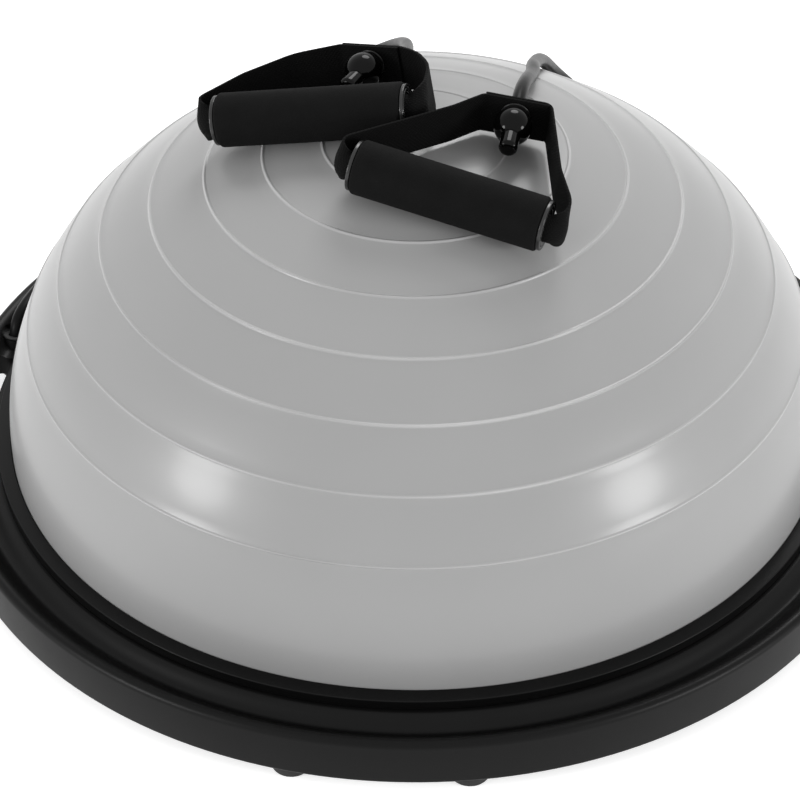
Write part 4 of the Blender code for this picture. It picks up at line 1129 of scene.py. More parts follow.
def channel_points(drop, count):
    """Points across the channel from the land to the crest, lowered by a wall where asked."""
    crest = BASE_RADIUS - RIM_ROUND
    points = []
    for start, end in ((LAND_RADIUS, CHANNEL_RADIUS), (CHANNEL_RADIUS, crest)):
        for index in range(count):
            radius = start + (end - start) * index / count
            points.append((radius, channel_height(radius) - drop))
    points.append((crest, RIM_TOP - drop))
    return points


print("the channel is", round(RIM_TOP - channel_height(CHANNEL_RADIUS), 4), "m lower than the rim")

# %% [markdown]
# ## The base
#
# Below the channel the moulding has an outer wall, a skirt that the sole plate fits into, and a well
# round the valve. A disc could be inset and pushed down ring by ring, but the outline gives all of it
# at once. It also keeps the real wall of three millimetres, which shows in the slots and from below.

# %% Draw the base's outline and spin it
BASE_WALL = 0.003
RIM_ROUND_STEPS = 9
BASE_EDGE_ROUND = 0.0025
BASE_EDGE_STEPS = 6
DECK_THICKNESS = 0.0035
DECK_UNDER = DECK_TOP - DECK_THICKNESS
SKIRT_RADIUS = 0.265
VALVE_WELL_RADIUS = 0.019
PLATE_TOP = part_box("standing_plate")[1].z
SLIP = 0.0005
BASE_STEPS = 216
CHANNEL_STEPS = 12


def base_outline():
    crest = BASE_RADIUS - RIM_ROUND
    wall_inner = BASE_RADIUS - BASE_WALL
    skirt_inner = SKIRT_RADIUS - BASE_WALL
    well_inner = VALVE_WELL_RADIUS - BASE_WALL
    hole = NECK_RADIUS + SLIP
    outline = [(hole, DECK_TOP)] + channel_points(0.0, CHANNEL_STEPS)
    outline += arc_points(crest, RIM_TOP - RIM_ROUND, RIM_ROUND, 90.0, 0.0, RIM_ROUND_STEPS)[1:]
    edge_x = BASE_RADIUS - BASE_EDGE_ROUND
    edge_z = FOOT_HEIGHT + BASE_EDGE_ROUND
    outline += arc_points(edge_x, edge_z, BASE_EDGE_ROUND, 0.0, -90.0, BASE_EDGE_STEPS)
    outline += [(wall_inner, FOOT_HEIGHT), (wall_inner, RIM_TOP - RIM_ROUND)]
    outline += reversed(channel_points(BASE_WALL, CHANNEL_STEPS))
    outline += [
        (SKIRT_RADIUS, DECK_UNDER),
        (SKIRT_RADIUS, FOOT_HEIGHT + GAP),
        (skirt_inner, FOOT_HEIGHT + GAP),
        (skirt_inner, DECK_UNDER),
        (VALVE_WELL_RADIUS, DECK_UNDER),
        (VALVE_WELL_RADIUS, PLATE_TOP + GAP),
        (well_inner, PLATE_TOP + GAP),
        (well_inner, DECK_UNDER),
        (hole, DECK_UNDER),
        (hole, DECK_TOP),
    ]
    return outline


base = spun("base_shell", base_outline(), BASE_STEPS)
print("base:", len(base.data.polygons), "faces before the slots")

# %% [markdown]
# ## The shape of a finger slot
#
# Two curved slots through the rim take the fingers of whoever carries the ball. Faces could be deleted
# and bridged by hand, but the rim is curved two ways there, and the boolean modifier makes a clean hole
# in one go. It needs a tool with the slot's outline: two arcs that follow the rim and two round ends,
# drawn as a line, filled and extruded upwards.

# %% Draw the tool for the finger slots
SLOT_INNER_RADIUS = 0.2955
SLOT_OUTER_RADIUS = 0.3165
SLOT_HALF_ANGLE = 11.0
SLOT_ARC_STEPS = 24
SLOT_END_STEPS = 12


def change_by(piece, tool, operation):
    """Cut a tool from a piece, or join it on, and remove the tool."""
    only(piece)
    change = piece.modifiers.new("change", "BOOLEAN")
    change.operation = operation
    change.object = tool
    change.solver = "EXACT"
    bpy.ops.object.modifier_apply(modifier=change.name)
    bpy.data.objects.remove(tool)


def prism(points, bottom, top):
    """Draw a flat outline, fill it and extrude it upwards."""
    piece = drawn("prism", [(x, y, bottom) for x, y in points + points[:1]])
    bpy.ops.mesh.remove_doubles(threshold=TINY)
    bpy.ops.mesh.edge_face_add()
    bpy.ops.mesh.extrude_region_move(TRANSFORM_OT_translate={"value": (0.0, 0.0, top - bottom)})
    tidy_mesh()
    return piece


def slot_prism(side, grow, bottom, top):
    """An upright block with a slot's outline: two arcs that follow the rim, and two round ends."""
    inner = SLOT_INNER_RADIUS - grow
    outer = SLOT_OUTER_RADIUS + grow
    middle = (inner + outer) / 2
    end = (outer - inner) / 2
    half = math.radians(SLOT_HALF_ANGLE) - (end - grow) / middle
    points = []
    for radius, turn in ((outer, half), (inner, -half)):
        for index in range(SLOT_ARC_STEPS + 1):
            swing = turn * (2 * index / SLOT_ARC_STEPS - 1)
            points.append((radius * math.cos(swing), radius * math.sin(swing)))
        lean = 0.0 if turn > 0 else math.pi
        for index in range(1, SLOT_END_STEPS):
            swing = turn + lean + math.pi * index / SLOT_END_STEPS
            x = middle * math.cos(turn) + end * math.cos(swing)
            y = middle * math.sin(turn) + end * math.sin(swing)
            points.append((x, y))
    return prism([(side * x, side * y) for x, y in points], bottom, top)


print("slots are", round(SLOT_OUTER_RADIUS - SLOT_INNER_RADIUS, 4), "m wide")

# %% [markdown]
# ## Finger slots
#
# Each slot has a smooth wall of its own inside the rim, so that fingers meet no edge. The slot could be
# cut first and its wall fitted in, but two skins would then meet all round. Here the walls are trimmed
# to end inside the thickness of the rim and joined on first. Then each slot is cut through rim and wall
# alike.

# %% Join on the walls of the finger slots and cut the slots
SLOT_WALL = 0.0025
SLOT_WALL_RISE = 0.008

for side in (-1, 1):
    wall = slot_prism(side, SLOT_WALL, FOOT_HEIGHT + SLOT_WALL_RISE, RIM_TOP)
    over = RIM_TOP + BASE_WALL
    trim = [(LAND_RADIUS - BASE_WALL, over), (BASE_RADIUS, over), (BASE_RADIUS, RIM_TOP - BASE_WALL / 2)]
    trim += channel_points(BASE_WALL / 2, CHANNEL_STEPS)[::-1]
    trim += [(LAND_RADIUS - BASE_WALL, DECK_TOP - BASE_WALL / 2), (LAND_RADIUS - BASE_WALL, over)]
    change_by(wall, spun("slot_trim", trim, BASE_STEPS), "DIFFERENCE")
    change_by(base, wall, "UNION")
for side in (-1, 1):
    change_by(base, slot_prism(side, 0.0, 0.0, RIM_TOP + BASE_WALL), "DIFFERENCE")
print("base:", len(base.data.polygons), "faces with the slots")

# %% [markdown]
# ## Walls and pegs
#
# Under the base are upright walls and round pegs, and the holes for screws and stems are pegs too, once
# they are cut out. Each could be extruded from the moulding where it stands. It is simpler to make them
# as separate boxes and cylinders, place them with a frame, and join them into one object, so that a
# whole set is added or cut at once.

# %% Make upright walls and pegs
PEG_STEPS = 32


def upright(thickness, inner, outer, bottom, top, azimuth):
    """An upright wall that runs out along an azimuth from one radius to another."""
    bpy.ops.mesh.primitive_cube_add(size=1.0)
    place = Matrix.Translation((0.0, -(inner + outer) / 2, (bottom + top) / 2))
    size = Matrix.Diagonal((thickness, outer - inner, top - bottom, 1.0))
    bpy.context.object.matrix_world = turn_about("Z", azimuth) @ place @ size
    return bpy.context.object


def peg(radius, bottom, top, place=(0.0, 0.0), stand=Matrix.Identity(4)):
    """A round peg, upright or along the Z of a frame."""
    bpy.ops.mesh.primitive_cylinder_add(vertices=PEG_STEPS, radius=radius, depth=top - bottom)
    bpy.context.object.matrix_world = stand @ Matrix.Translation((*place, (top + bottom) / 2))
    return bpy.context.object


def joined(pieces):
    """Join several pieces into one object whose mesh holds their places."""
    bpy.ops.object.select_all(action="DESELECT")
    for piece in pieces:
        piece.select_set(True)
    bpy.context.view_layer.objects.active = pieces[0]
    bpy.ops.object.join()
    bpy.ops.object.transform_apply(location=True, rotation=True, scale=True)
    return bpy.context.object


print("pegs have", PEG_STEPS, "sides")

# %% [markdown]
# ## Where things stand under the base
#
# The sole plate has six screws, each between two webs. The rim has eight feet: a pair at the front, a
# pair at the back, and one on either side of each finger slot. An array modifier could set out the
# screws, but the feet aren't even. Azimuths do for both, and the same places serve twice: first for the
# bosses, and then for the holes in them.

# %% Set out the feet, the screws and the bushes
WEB_COUNT = 6
PLATE_SCREW_CIRCLE = 0.238
FOOT_CIRCLE = 0.309
FOOT_AZIMUTHS = (-10.5, 10.5, 66.0, 114.0, 169.5, 190.5, 246.0, 294.0)


def on_circle(circle, azimuth):
    out = out_from_axis(azimuth) * circle
    return (out.x, out.y)


def evenly_round(count):
    return [(index + 0.5) * 360.0 / count for index in range(count)]


def foot_pegs(radius, bottom, top):
    return [peg(radius, bottom, top, on_circle(FOOT_CIRCLE, azimuth)) for azimuth in FOOT_AZIMUTHS]


def screw_pegs(radius, bottom, top):
    """Pegs where the screws of the sole plate are, each between two webs."""
    places = [on_circle(PLATE_SCREW_CIRCLE, azimuth) for azimuth in evenly_round(WEB_COUNT)]
    return [peg(radius, bottom, top, place) for place in places]


def bush_pegs(radius, bottom, top):
    """Pegs along both tubes, measured from the seats of their bushes."""
    return [peg(radius, bottom, top, stand=bush_frame(side)) for side in (-1, 1)]


print("feet at azimuths", FOOT_AZIMUTHS)

# %% [markdown]
# ## Underside of the base
#
# A thin moulding is stiffened from below, by ribs under the rim and webs under the deck, and it has
# bosses for the screws of the sole plate, for the feet and for the tubes. The photo hides them all, but
# the ball is also used upside down. Walls and bosses could stop at the moulding's faces, but then they
# would only touch it. Nearly all reach half way into the wall that they stand on, so they join well.

# %% Join on the ribs, webs and bosses of the underside
RIB_COUNT = 24
RIB_THICKNESS = 0.002
RIB_RISE = 0.0045
WEB_THICKNESS = 0.0025
PLATE_SCREW_RADIUS = 0.0018
BOSS_WALL = 0.0035
FOOT_RADIUS = 0.013
BUSH_WALL = 0.0019
BUSH_FLANGE_OUT = 0.002
TUBE_HOLE = TUBE_RADIUS + GAP
BUSH_RADIUS = TUBE_HOLE + BUSH_WALL
CLEAR_OF_SLOT = 2.0
CLEAR_OF_PEG = 3.5


def rib_is_clear(azimuth):
    """Whether a rib at an azimuth keeps clear of the slots, the bushes and the feet."""
    keep_clear = [(side * 90.0, SLOT_HALF_ANGLE + CLEAR_OF_SLOT) for side in (-1, 1)]
    keep_clear += [(side * EYELET_AZIMUTH, CLEAR_OF_PEG) for side in (-1, 1)]
    keep_clear += [(foot, CLEAR_OF_PEG) for foot in FOOT_AZIMUTHS]
    return all(abs((azimuth - place + 180.0) % 360.0 - 180.0) > reach for place, reach in keep_clear)


half_wall = BASE_WALL / 2
deck_middle = DECK_TOP - DECK_THICKNESS / 2
channel_under = FOOT_HEIGHT + CHANNEL_RISE - half_wall
pad_radius = BUSH_RADIUS + GAP + BUSH_FLANGE_OUT
well_wall = VALVE_WELL_RADIUS - half_wall
skirt_wall = SKIRT_RADIUS - half_wall
rim_wall = BASE_RADIUS - half_wall
rib_low = FOOT_HEIGHT + RIB_RISE
supports = []
for azimuth in filter(rib_is_clear, evenly_round(RIB_COUNT)):
    supports.append(upright(RIB_THICKNESS, skirt_wall, rim_wall, rib_low, channel_under, azimuth))
for index in range(WEB_COUNT):
    azimuth = index * 360.0 / WEB_COUNT
    supports.append(upright(WEB_THICKNESS, well_wall, skirt_wall, PLATE_TOP + GAP, deck_middle, azimuth))
supports += screw_pegs(PLATE_SCREW_RADIUS + GAP + BOSS_WALL, PLATE_TOP + GAP, deck_middle)
supports += foot_pegs(FOOT_RADIUS, FOOT_HEIGHT, channel_under)
supports += bush_pegs(pad_radius, -EYELET_DEPTH, 0.0)
change_by(base, joined(supports), "UNION")
print("base:", len(base.data.polygons), "faces with its ribs and bosses")

# %% [markdown]
# ## Holes in the base
#
# The screws of the sole plate, the stems of the feet and the bushes of the tubes need holes with a
# little room. A boss could be made with its hole, but it is easier to join it on whole and to drill it
# afterwards, as in a workshop. A second cut makes flat seats for the flanges of the bushes.

# %% Drill the base
FOOT_STEM_RADIUS = 0.004
FOOT_STEM_LENGTH = 0.009
PLATE_SCREW_LENGTH = 0.014
PLATE_HEAD_HEIGHT = 0.002
PLATE_RISE = 0.0015
PLATE_BOTTOM = FOOT_HEIGHT + PLATE_RISE

head_top = PLATE_BOTTOM + PLATE_HEAD_HEIGHT
holes = screw_pegs(PLATE_SCREW_RADIUS + GAP, FOOT_HEIGHT, head_top + PLATE_SCREW_LENGTH + GAP)
holes += foot_pegs(FOOT_STEM_RADIUS + GAP, 0.0, FOOT_HEIGHT + FOOT_STEM_LENGTH + GAP)
holes += bush_pegs(BUSH_RADIUS + GAP, -2 * EYELET_DEPTH, EYELET_DEPTH / 2)
change_by(base, joined(holes), "DIFFERENCE")
change_by(base, joined(bush_pegs(pad_radius + GAP, 0.0, EYELET_DEPTH)), "DIFFERENCE")
dress(smoothed(base), "base_plastic", "base", "base_platform")

# %% [markdown]
# ## Clamp ring
#
# The ring that clamps the dome is a low collar with rounded edges, and a step under it holds the
# dome's bead. A torus would be too round, so the ring is spun from its own outline.

# %% Spin the clamp ring
CLAMP_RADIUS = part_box("retaining_ring")[1].x
CLAMP_SLOPE = 0.0012
CLAMP_ROUND = 0.0008

clamp_inner = EDGE_RADIUS + GAP
clamp_foot = BEAD_RADIUS + SLIP
clamp_outline = rounded_loop(
    [
        (clamp_inner, SEAT_TOP),
        (CLAMP_RADIUS, SEAT_TOP - CLAMP_SLOPE),
        (CLAMP_RADIUS, BEAD_BOTTOM),
        (clamp_foot, BEAD_BOTTOM),
        (clamp_foot, BEAD_TOP + GAP),
        (clamp_inner, BEAD_TOP + GAP),
    ],
    CLAMP_ROUND,
)
clamp = spun("clamp_ring", clamp_outline, DOME_STEPS)
dress(clamp, "base_plastic", "base", "retaining_ring")

# %% [markdown]
# ## Feet
#
# The eight feet are rubber buttons whose stems push into the base. An array would keep them all in one
# piece. Each foot is a piece of its own here, so one is turned and then copied with its mesh.

# %% Turn one foot and copy it
FOOT_ROUND = 0.002
FOOT_STEPS = 48


def copy_of(piece, name):
    """A copy of a piece with its own mesh."""
    made = piece.copy()
    made.data = piece.data.copy()
    made.name = name
    bpy.context.scene.collection.objects.link(made)
    return made


foot_corners = [
    (0.0, FOOT_HEIGHT + FOOT_STEM_LENGTH),
    (FOOT_STEM_RADIUS, FOOT_HEIGHT + FOOT_STEM_LENGTH),
    (FOOT_STEM_RADIUS, FOOT_HEIGHT - GAP),
    (FOOT_RADIUS, FOOT_HEIGHT - GAP),
    (FOOT_RADIUS, 0.0),
    (FOOT_RADIUS - FOOT_ROUND * 2, 0.0),
    (0.0, 0.0),
]
foot_rounds = [FOOT_ROUND / 4, 0.0, FOOT_ROUND / 4, FOOT_ROUND, 0.0]
foot_outline = rounded_path([Vector(corner) for corner in foot_corners], foot_rounds)
first_foot = spun("rubber_foot_1", foot_outline, FOOT_STEPS)
feet = [first_foot]
for number in range(2, len(FOOT_AZIMUTHS) + 1):
    feet.append(copy_of(first_foot, "rubber_foot_" + str(number)))
for number, (foot, azimuth) in enumerate(zip(feet, FOOT_AZIMUTHS), start=1):
    placed(foot, Matrix.Translation((*on_circle(FOOT_CIRCLE, azimuth), 0.0)))
    dress(foot, "foot_rubber", "base", "foot_" + str(number))

# %% [markdown]
# ## Sole plate
#
# The plate closes the underside, for use with the dome down, and has raised tread rings for bare feet.
# The rings could be joined on. As part of the outline they come with the spin, round edges and all. Two
# cuts then sink the screws: wide holes for their heads and thin ones for their shanks.

# %% Spin the sole plate and sink its screw holes
PLATE_RADIUS = SKIRT_RADIUS - BASE_WALL - SLIP
PLATE_HOLE_RADIUS = 0.0165
PLATE_HEAD_RADIUS = 0.004
TREAD_RADII = (0.200, 0.140, 0.080)
TREAD_WIDTH = 0.006
TREAD_HEIGHT = 0.0012
PLATE_ROUND = 0.0006

plate_corners = [(PLATE_HOLE_RADIUS, PLATE_TOP), (PLATE_RADIUS, PLATE_TOP), (PLATE_RADIUS, PLATE_BOTTOM)]
for radius in TREAD_RADII:
    plate_corners += [
        (radius + TREAD_WIDTH / 2, PLATE_BOTTOM),
        (radius + TREAD_WIDTH / 4, PLATE_BOTTOM - TREAD_HEIGHT),
        (radius - TREAD_WIDTH / 4, PLATE_BOTTOM - TREAD_HEIGHT),
        (radius - TREAD_WIDTH / 2, PLATE_BOTTOM),
    ]
plate_corners.append((PLATE_HOLE_RADIUS, PLATE_BOTTOM))
plate = spun("sole_plate", rounded_loop(plate_corners, PLATE_ROUND), BASE_STEPS)
change_by(plate, joined(screw_pegs(PLATE_HEAD_RADIUS + GAP, 0.0, head_top + GAP)), "DIFFERENCE")
change_by(plate, joined(screw_pegs(PLATE_SCREW_RADIUS + GAP, 0.0, PLATE_TOP + GAP)), "DIFFERENCE")
dress(smoothed(plate), "base_plastic", "base", "standing_plate")

# %% [markdown]
# ## Plug
#
# A rubber plug closes the valve from below. Its stem is tapered at the tip, to find the bore, and its
# flange has a shallow dimple. A cylinder could be bevelled and inset. But on a part as small as this
# the round edges are what catches the light, so it has an outline of its own.

# %% Turn the plug
SMALL_STEPS = 48
PLUG_STEM_LENGTH = 0.0135
PLUG_FLANGE_RADIUS = 0.0105
PLUG_FLANGE_THICKNESS = 0.0025
PLUG_TIP_SHARE = 0.5
PLUG_DIMPLE_SHARE = 0.6
PLUG_ROUND = 0.0006

plug_top = NECK_BOTTOM - GAP
plug_stem = VALVE_BORE - GAP
plug_tip = plug_top + PLUG_STEM_LENGTH
plug_bottom = plug_top - PLUG_FLANGE_THICKNESS
plug_corners = [
    (0.0, plug_tip),
    (plug_stem * PLUG_TIP_SHARE, plug_tip),
    (plug_stem, plug_tip - plug_stem),
    (plug_stem, plug_top),
    (PLUG_FLANGE_RADIUS, plug_top),
    (PLUG_FLANGE_RADIUS, plug_bottom),
    (PLUG_FLANGE_RADIUS * PLUG_DIMPLE_SHARE, plug_bottom),
    (0.0, plug_bottom + PLUG_FLANGE_THICKNESS / 2),
]
plug_rounds = [PLUG_ROUND] * (len(plug_corners) - 2)
plug_outline = rounded_path([Vector(corner) for corner in plug_corners], plug_rounds)
dress(spun("valve_plug", plug_outline, SMALL_STEPS), "plug_rubber", "plug", "air_plug")

# %% [markdown]
# ## Bushes and anchor balls
#
# A rubber bush guards each tube where it goes through the base, and a ball under it holds the tube. A
# bush could be three cylinders joined, but it is one sleeve with a flange at each end, and so are the
# eyelets of the straps later on. One function draws the outline of such a sleeve for both.

# %% Turn the bushes and the anchor balls
ANCHOR_BALL_RADIUS = 0.010
ANCHOR_BALL_STEPS = 24
FLANGE_ROUND_SHARE = 0.4


def flanged_sleeve(bore, barrel, flange, thickness, bottom, top):
    """Outline of a sleeve with a flange at each end, whose flanges lie outside bottom and top."""
    corners = [
        (bore, top + thickness),
        (flange, top + thickness),
        (flange, top),
        (barrel, top),
        (barrel, bottom),
        (flange, bottom),
        (flange, bottom - thickness),
        (bore, bottom - thickness),
    ]
    return rounded_loop(corners, thickness * FLANGE_ROUND_SHARE)


bush_outline = flanged_sleeve(
    TUBE_HOLE, BUSH_RADIUS, BUSH_RADIUS + BUSH_FLANGE_OUT, BUSH_FLANGE_THICKNESS, -EYELET_DEPTH - GAP, GAP
)
anchor_face = math.sqrt(ANCHOR_BALL_RADIUS**2 - TUBE_RADIUS**2)
anchor_start = math.degrees(math.asin(anchor_face / ANCHOR_BALL_RADIUS))
anchor_outline = [(0.0, anchor_face)]
anchor_outline += arc_points(0.0, 0.0, ANCHOR_BALL_RADIUS, anchor_start, -90.0, ANCHOR_BALL_STEPS)
for word, spec in HANDLES.items():
    stand = bush_frame(spec["side"])
    bush = placed(spun(word + "_base_bush", bush_outline, SMALL_STEPS), stand)
    dress(bush, "foot_rubber", "base", word + "_tube_bush")
    anchor = spun(word + "_anchor_ball", anchor_outline, SMALL_STEPS)
    placed(anchor, stand @ Matrix.Translation((0.0, 0.0, ANCHOR_FACE - anchor_face)))
    dress(anchor, "stopper_plastic", "base", word + "_anchor_stopper")

# %% [markdown]
# ## Strap eyelets and stopper balls
#
# A metal eyelet lines the hole through both layers of a strap, and a black ball with a tail stops the
# tube in front of it. A ball and a cylinder could be joined, but one outline makes both in one skin,
# with a clean ring where they meet. The photo shows these balls plainly, so they get more steps.

# %% Turn the strap eyelets and the stopper balls
EYELET_WALL = 0.0019
EYELET_FLANGE_OUT = 0.0028
EYELET_RADIUS = TUBE_HOLE + EYELET_WALL
STOPPER_BALL_RADIUS = 0.0125
STOPPER_FACE_RADIUS = 0.0068
STOPPER_TAIL_RADIUS = 0.0062
STOPPER_TAIL_LENGTH = 0.014
STOPPER_BALL_STEPS = 28
TAIL_ROUND = 0.00372

half_stack = STRAP_STACK / 2 + GAP
eyelet_flange = EYELET_RADIUS + EYELET_FLANGE_OUT
eyelet_outline = flanged_sleeve(
    TUBE_HOLE, EYELET_RADIUS, eyelet_flange, EYELET_FLANGE_THICKNESS, -half_stack, half_stack
)
ball_start = math.degrees(math.acos(STOPPER_FACE_RADIUS / STOPPER_BALL_RADIUS))
ball_end = -math.degrees(math.acos(STOPPER_TAIL_RADIUS / STOPPER_BALL_RADIUS))
ball_top = STOPPER_BALL_RADIUS * math.sin(math.radians(ball_start))
tail_tip = STOPPER_BALL_RADIUS * math.sin(math.radians(ball_end)) - STOPPER_TAIL_LENGTH
stopper_outline = [(0.0, ball_top)]
stopper_outline += arc_points(0.0, 0.0, STOPPER_BALL_RADIUS, ball_start, ball_end, STOPPER_BALL_STEPS)
tail_corners = [
    Vector(stopper_outline[-1]),
    Vector((STOPPER_TAIL_RADIUS, tail_tip)),
    Vector((0.0, tail_tip)),
]
stopper_outline += rounded_path(tail_corners, [TAIL_ROUND])[1:]
for word, spec in HANDLES.items():
    hole = handle_frame(word) @ hole_frame(spec)
    ring = placed(spun(word + "_eyelet_ring", eyelet_outline, SMALL_STEPS), hole)
    dress(ring, "eyelet_metal", word + "_handle", word + "_strap_eyelet")
    ball = spun(word + "_stopper_ball", stopper_outline, SMALL_STEPS * 2)
    placed(ball, hole @ Matrix.Translation((0.0, 0.0, HANDLE_FACE - ball_top)))
    dress(ball, "stopper_plastic", word + "_handle", word + "_handle_stopper")

# %% [markdown]
# ## Webbing straps
#
# Each strap is one length of nylon webbing on edge. It starts under the apex, comes down to the grip,
# rolls into a half round to fit through the hard core, comes out flat again, and goes back up to the
# apex, where the tube's eyelet goes through both layers. Its mid line is drawn first, flat in the
# handle's plane. A bezier curve could hold it, but would be set by eye again after each change. Straight
# runs with rounded corners, and an arc at each end of the grip, follow from the sizes.

# %% Draw the strap's path
GRIP_HALF_LENGTH = 0.065
STRAP_BEND = 0.0105
STRAP_EXIT = 0.0015
STRAP_TUCK = 0.001
APEX_LENGTH = 0.044
APEX_CORNER = 0.006
LEG_CORNER = 0.030
CURL_RADIUS = STRAP_WIDTH / math.pi
BEND_PARTS = 16


def touch_angle(centre, outside, side):
    """The angle at which a line from an outside point touches the bend, on one side of it."""
    gap = outside - centre
    return math.atan2(gap.y, gap.x) - side * math.acos(STRAP_BEND / gap.length)


def bend_arc(centre, start, end):
    points = []
    for index in range(BEND_PARTS + 1):
        angle = start + (end - start) * index / BEND_PARTS
        points.append(centre + Vector((math.cos(angle), math.sin(angle))) * STRAP_BEND)
    return points


def strap_path(spec):
    """The strap's mid line in the handle's plane, from its inner end round to its outer end."""
    turn = math.radians(spec["apex_turn"])
    along = Vector((math.cos(turn), math.sin(turn)))
    lift = Vector((-along.y, along.x)) * LAYER_STEP
    tuck = along * STRAP_TUCK
    near_corner = Vector(spec["apex"]) - along * (APEX_LENGTH / 2)
    far_corner = Vector(spec["apex"]) + along * (APEX_LENGTH / 2)
    near_leg = [Vector(point) for point in spec["near_leg"]]
    far_leg = [Vector(point) for point in spec["far_leg"]]
    bend_x = GRIP_HALF_LENGTH + STRAP_EXIT
    bend_y = STRAP_BEND - CURL_RADIUS
    near_bend = Vector((-bend_x, bend_y))
    far_bend = Vector((bend_x, bend_y))
    near_angle = touch_angle(near_bend, near_leg[-1], -1) % math.tau
    far_angle = touch_angle(far_bend, far_leg[-1], 1)
    bend_in = bend_arc(near_bend, near_angle, 1.5 * math.pi)
    bend_out = bend_arc(far_bend, -0.5 * math.pi, far_angle)
    first = rounded_path(
        [far_corner - tuck, near_corner] + near_leg + [bend_in[0]],
        [APEX_CORNER] + [LEG_CORNER] * len(near_leg),
    )
    last = rounded_path(
        [bend_out[-1]] + far_leg[::-1] + [far_corner + lift, near_corner + lift + tuck],
        [LEG_CORNER] * len(far_leg) + [APEX_CORNER],
    )
    return first + bend_in[1:] + bend_out + last[1:]


for word, spec in HANDLES.items():
    print(word, "strap path:", len(strap_path(spec)), "points")

# %% [markdown]
# ## Webbing along the path
#
# On the real handle the webbing is flat but for where it goes through the core, and there it is rolled
# into a half round. A ribbon could be extruded step by step. It is easier to lay a flat grid along the
# path, because a grid brings a map with it. The map is set to real metres along the strap and across
# it, so that the weave follows each bend.

# %% Lay a grid along the path
STRAP_STEP = 0.0008
STRAP_ACROSS = 14
STRAP_UNCURL = 0.028


def webbing_grid(word, spec):
    """A flat grid laid on edge along the strap's path, with its map in metres."""
    stations = even_steps(strap_path(spec), STRAP_STEP)
    lengths = run_lengths(stations)
    in_core = [run for run, point in zip(lengths, stations) if point.y < TINY - CURL_RADIUS]
    headings = [(after - before).normalized() for before, after in zip(stations, stations[1:])]
    bpy.ops.object.select_all(action="DESELECT")
    bpy.ops.mesh.primitive_grid_add(x_subdivisions=len(stations) - 1, y_subdivisions=STRAP_ACROSS, size=2.0)
    strap = bpy.context.object
    strap.name = word + "_webbing"
    marks = []
    for corner in strap.data.vertices:
        index = round((corner.co.x + 1) / 2 * (len(stations) - 1))
        width = corner.co.y * STRAP_WIDTH / 2
        before = headings[max(index - 1, 0)]
        after = headings[min(index, len(headings) - 1)]
        side = turned_flat((before + after).normalized(), math.pi / 2)
        away = max(in_core[0] - lengths[index], lengths[index] - in_core[-1], 0.0)
        share = max(0.0, 1.0 - away / STRAP_UNCURL)
        curl = share * share * (3 - 2 * share) / CURL_RADIUS
        sag = (1 - math.cos(width * curl)) / curl if curl > 0 else 0.0
        height = math.sin(width * curl) / curl if curl > 0 else width
        place = stations[index] + side * sag
        corner.co = (place.x, place.y, height)
        marks.append((lengths[index], width + STRAP_WIDTH / 2))
    strap.data.uv_layers[0].name = "strap_map"
    for loop, mark in zip(strap.data.loops, strap.data.uv_layers[0].data):
        mark.uv = marks[loop.vertex_index]
    print(word, "strap:", round(lengths[-1], 3), "m of webbing")
    return strap


straps = {word: webbing_grid(word, spec) for word, spec in HANDLES.items()}

# %% [markdown]
# ## Thickness and hole of the webbing
#
# Webbing has some thickness, soft edges and, at the apex, a hole through both layers for the eyelet.
# The grid could be extruded, but it bends two ways, so one direction wouldn't suit all of it. Solidify
# moves each point along its own normal instead. A small bevel softens the edges, and one peg cuts the
# hole through both layers.

# %% Give the webbing its thickness and its hole
WEBBING_ROUND = 0.0005
WEBBING_EDGE_ANGLE = 60.0

for word, strap in straps.items():
    thick = strap.modifiers.new("thickness", "SOLIDIFY")
    thick.thickness = STRAP_THICKNESS
    thick.offset = 0.0
    soften = strap.modifiers.new("soft_edges", "BEVEL")
    soften.width = WEBBING_ROUND
    soften.segments = 2
    soften.limit_method = "ANGLE"
    soften.angle_limit = math.radians(WEBBING_EDGE_ANGLE)
    only(strap)
    bpy.ops.object.modifier_apply(modifier=thick.name)
    bpy.ops.object.modifier_apply(modifier=soften.name)
    hole = peg(EYELET_RADIUS + GAP, -STRAP_STACK, STRAP_STACK, stand=hole_frame(HANDLES[word]))
    change_by(strap, joined([hole]), "DIFFERENCE")
    smoothed(placed(strap, handle_frame(word)))
    dress(strap, "webbing", word + "_handle", word + "_strap")

# %% [markdown]
# ## Grips
#
# A grip is a hard plastic core that the strap runs through, a foam sleeve over it, and a cap on each
# end whose shiny edge shows in the photo. A cylinder would do for the core, but the foam and the caps
# have rounded edges, so all are turned. They spin together on the strap, so they ride on the grip and
# not on the handle.

# %% Turn the core, the foam and the caps
CORE_WALL = 0.0025
CORE_ROUND = 0.0006
CORE_SIDES = 16
CORE_BORE = CURL_RADIUS + STRAP_THICKNESS / 2 + GAP
CORE_OUTSIDE = CORE_BORE / math.cos(math.pi / CORE_SIDES) + CORE_WALL
FOAM_RADIUS = 0.0178
FOAM_ROUND = 0.0024
CAP_THICKNESS = 0.0025
CAP_STEP = 0.0014
CAP_ROUND = 0.0007
GRIP_STEPS = 96

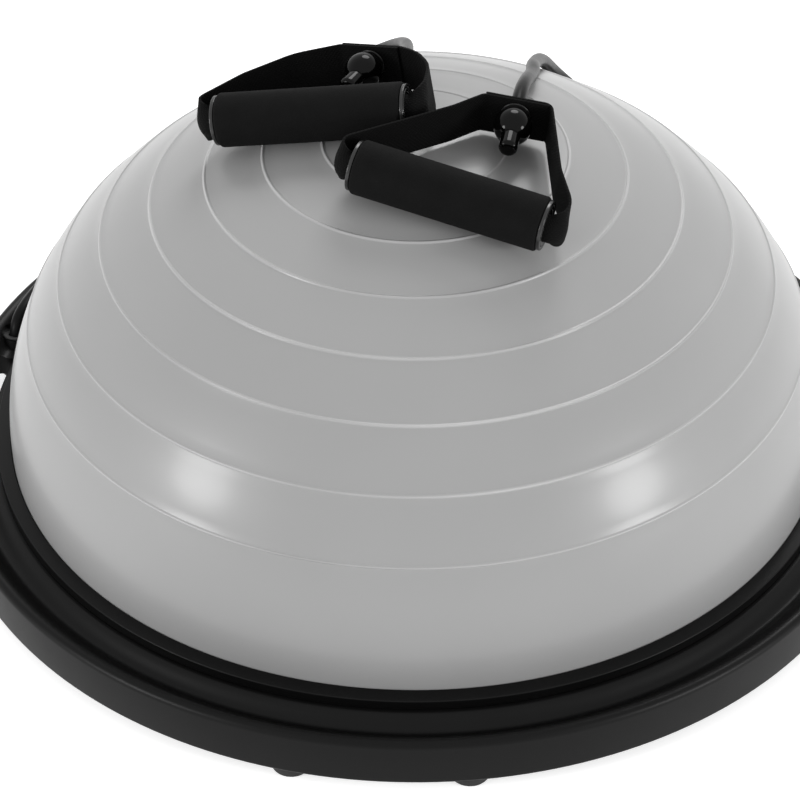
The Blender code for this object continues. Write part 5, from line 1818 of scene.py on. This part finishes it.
grip_bore = CORE_OUTSIDE + GAP
foam_half = GRIP_HALF_LENGTH - CAP_THICKNESS - GAP
cap_radius = FOAM_RADIUS - CAP_STEP
core_outline = rounded_loop(
    [
        (CORE_BORE, GRIP_HALF_LENGTH),
        (CORE_OUTSIDE, GRIP_HALF_LENGTH),
        (CORE_OUTSIDE, -GRIP_HALF_LENGTH),
        (CORE_BORE, -GRIP_HALF_LENGTH),
    ],
    CORE_ROUND,
)
foam_corners = [Vector((grip_bore, foam_half)), Vector((FOAM_RADIUS, foam_half))]
foam_corners += [Vector((FOAM_RADIUS, -foam_half)), Vector((grip_bore, -foam_half))]
foam_outline = rounded_path(foam_corners, [FOAM_ROUND, FOAM_ROUND]) + [foam_corners[0]]
cap_outline = rounded_loop(
    [
        (grip_bore, GRIP_HALF_LENGTH),
        (cap_radius, GRIP_HALF_LENGTH),
        (cap_radius, GRIP_HALF_LENGTH - CAP_THICKNESS),
        (grip_bore, GRIP_HALF_LENGTH - CAP_THICKNESS),
    ],
    CAP_ROUND,
)
lay_down = turn_about("Y", 90.0)
for word in HANDLES:
    lie = handle_frame(word)
    body = word + "_grip"
    core = placed(spun(word + "_core_tube", core_outline, GRIP_STEPS), lie @ lay_down)
    dress(core, "core_plastic", body, word + "_grip_core")
    sleeve = placed(spun(word + "_foam_sleeve", foam_outline, GRIP_STEPS), lie @ lay_down)
    dress(sleeve, "foam", body, word + "_foam_grip")
    for end, flip in (("far", 0.0), ("near", 180.0)):
        cap = spun(word + "_end_cap_" + end, cap_outline, GRIP_STEPS)
        placed(cap, lie @ turn_about("Y", flip) @ lay_down)
        dress(cap, "core_plastic", body, word + "_grip_cap_" + end)

# %% [markdown]
# ## Screws
#
# The screws stay as the solids they are, because the base and the plate hide all but their ends. New
# ones could be turned, but no view would gain by it. They only take a zinc finish.

# %% Finish the screws
screws = [node for name, node in frame["nodes"].items() if "_screw_" in name]
for screw in screws:
    screw.data.materials.clear()
    screw.data.materials.append(finishes["screw_steel"])
print("screws:", len(screws))
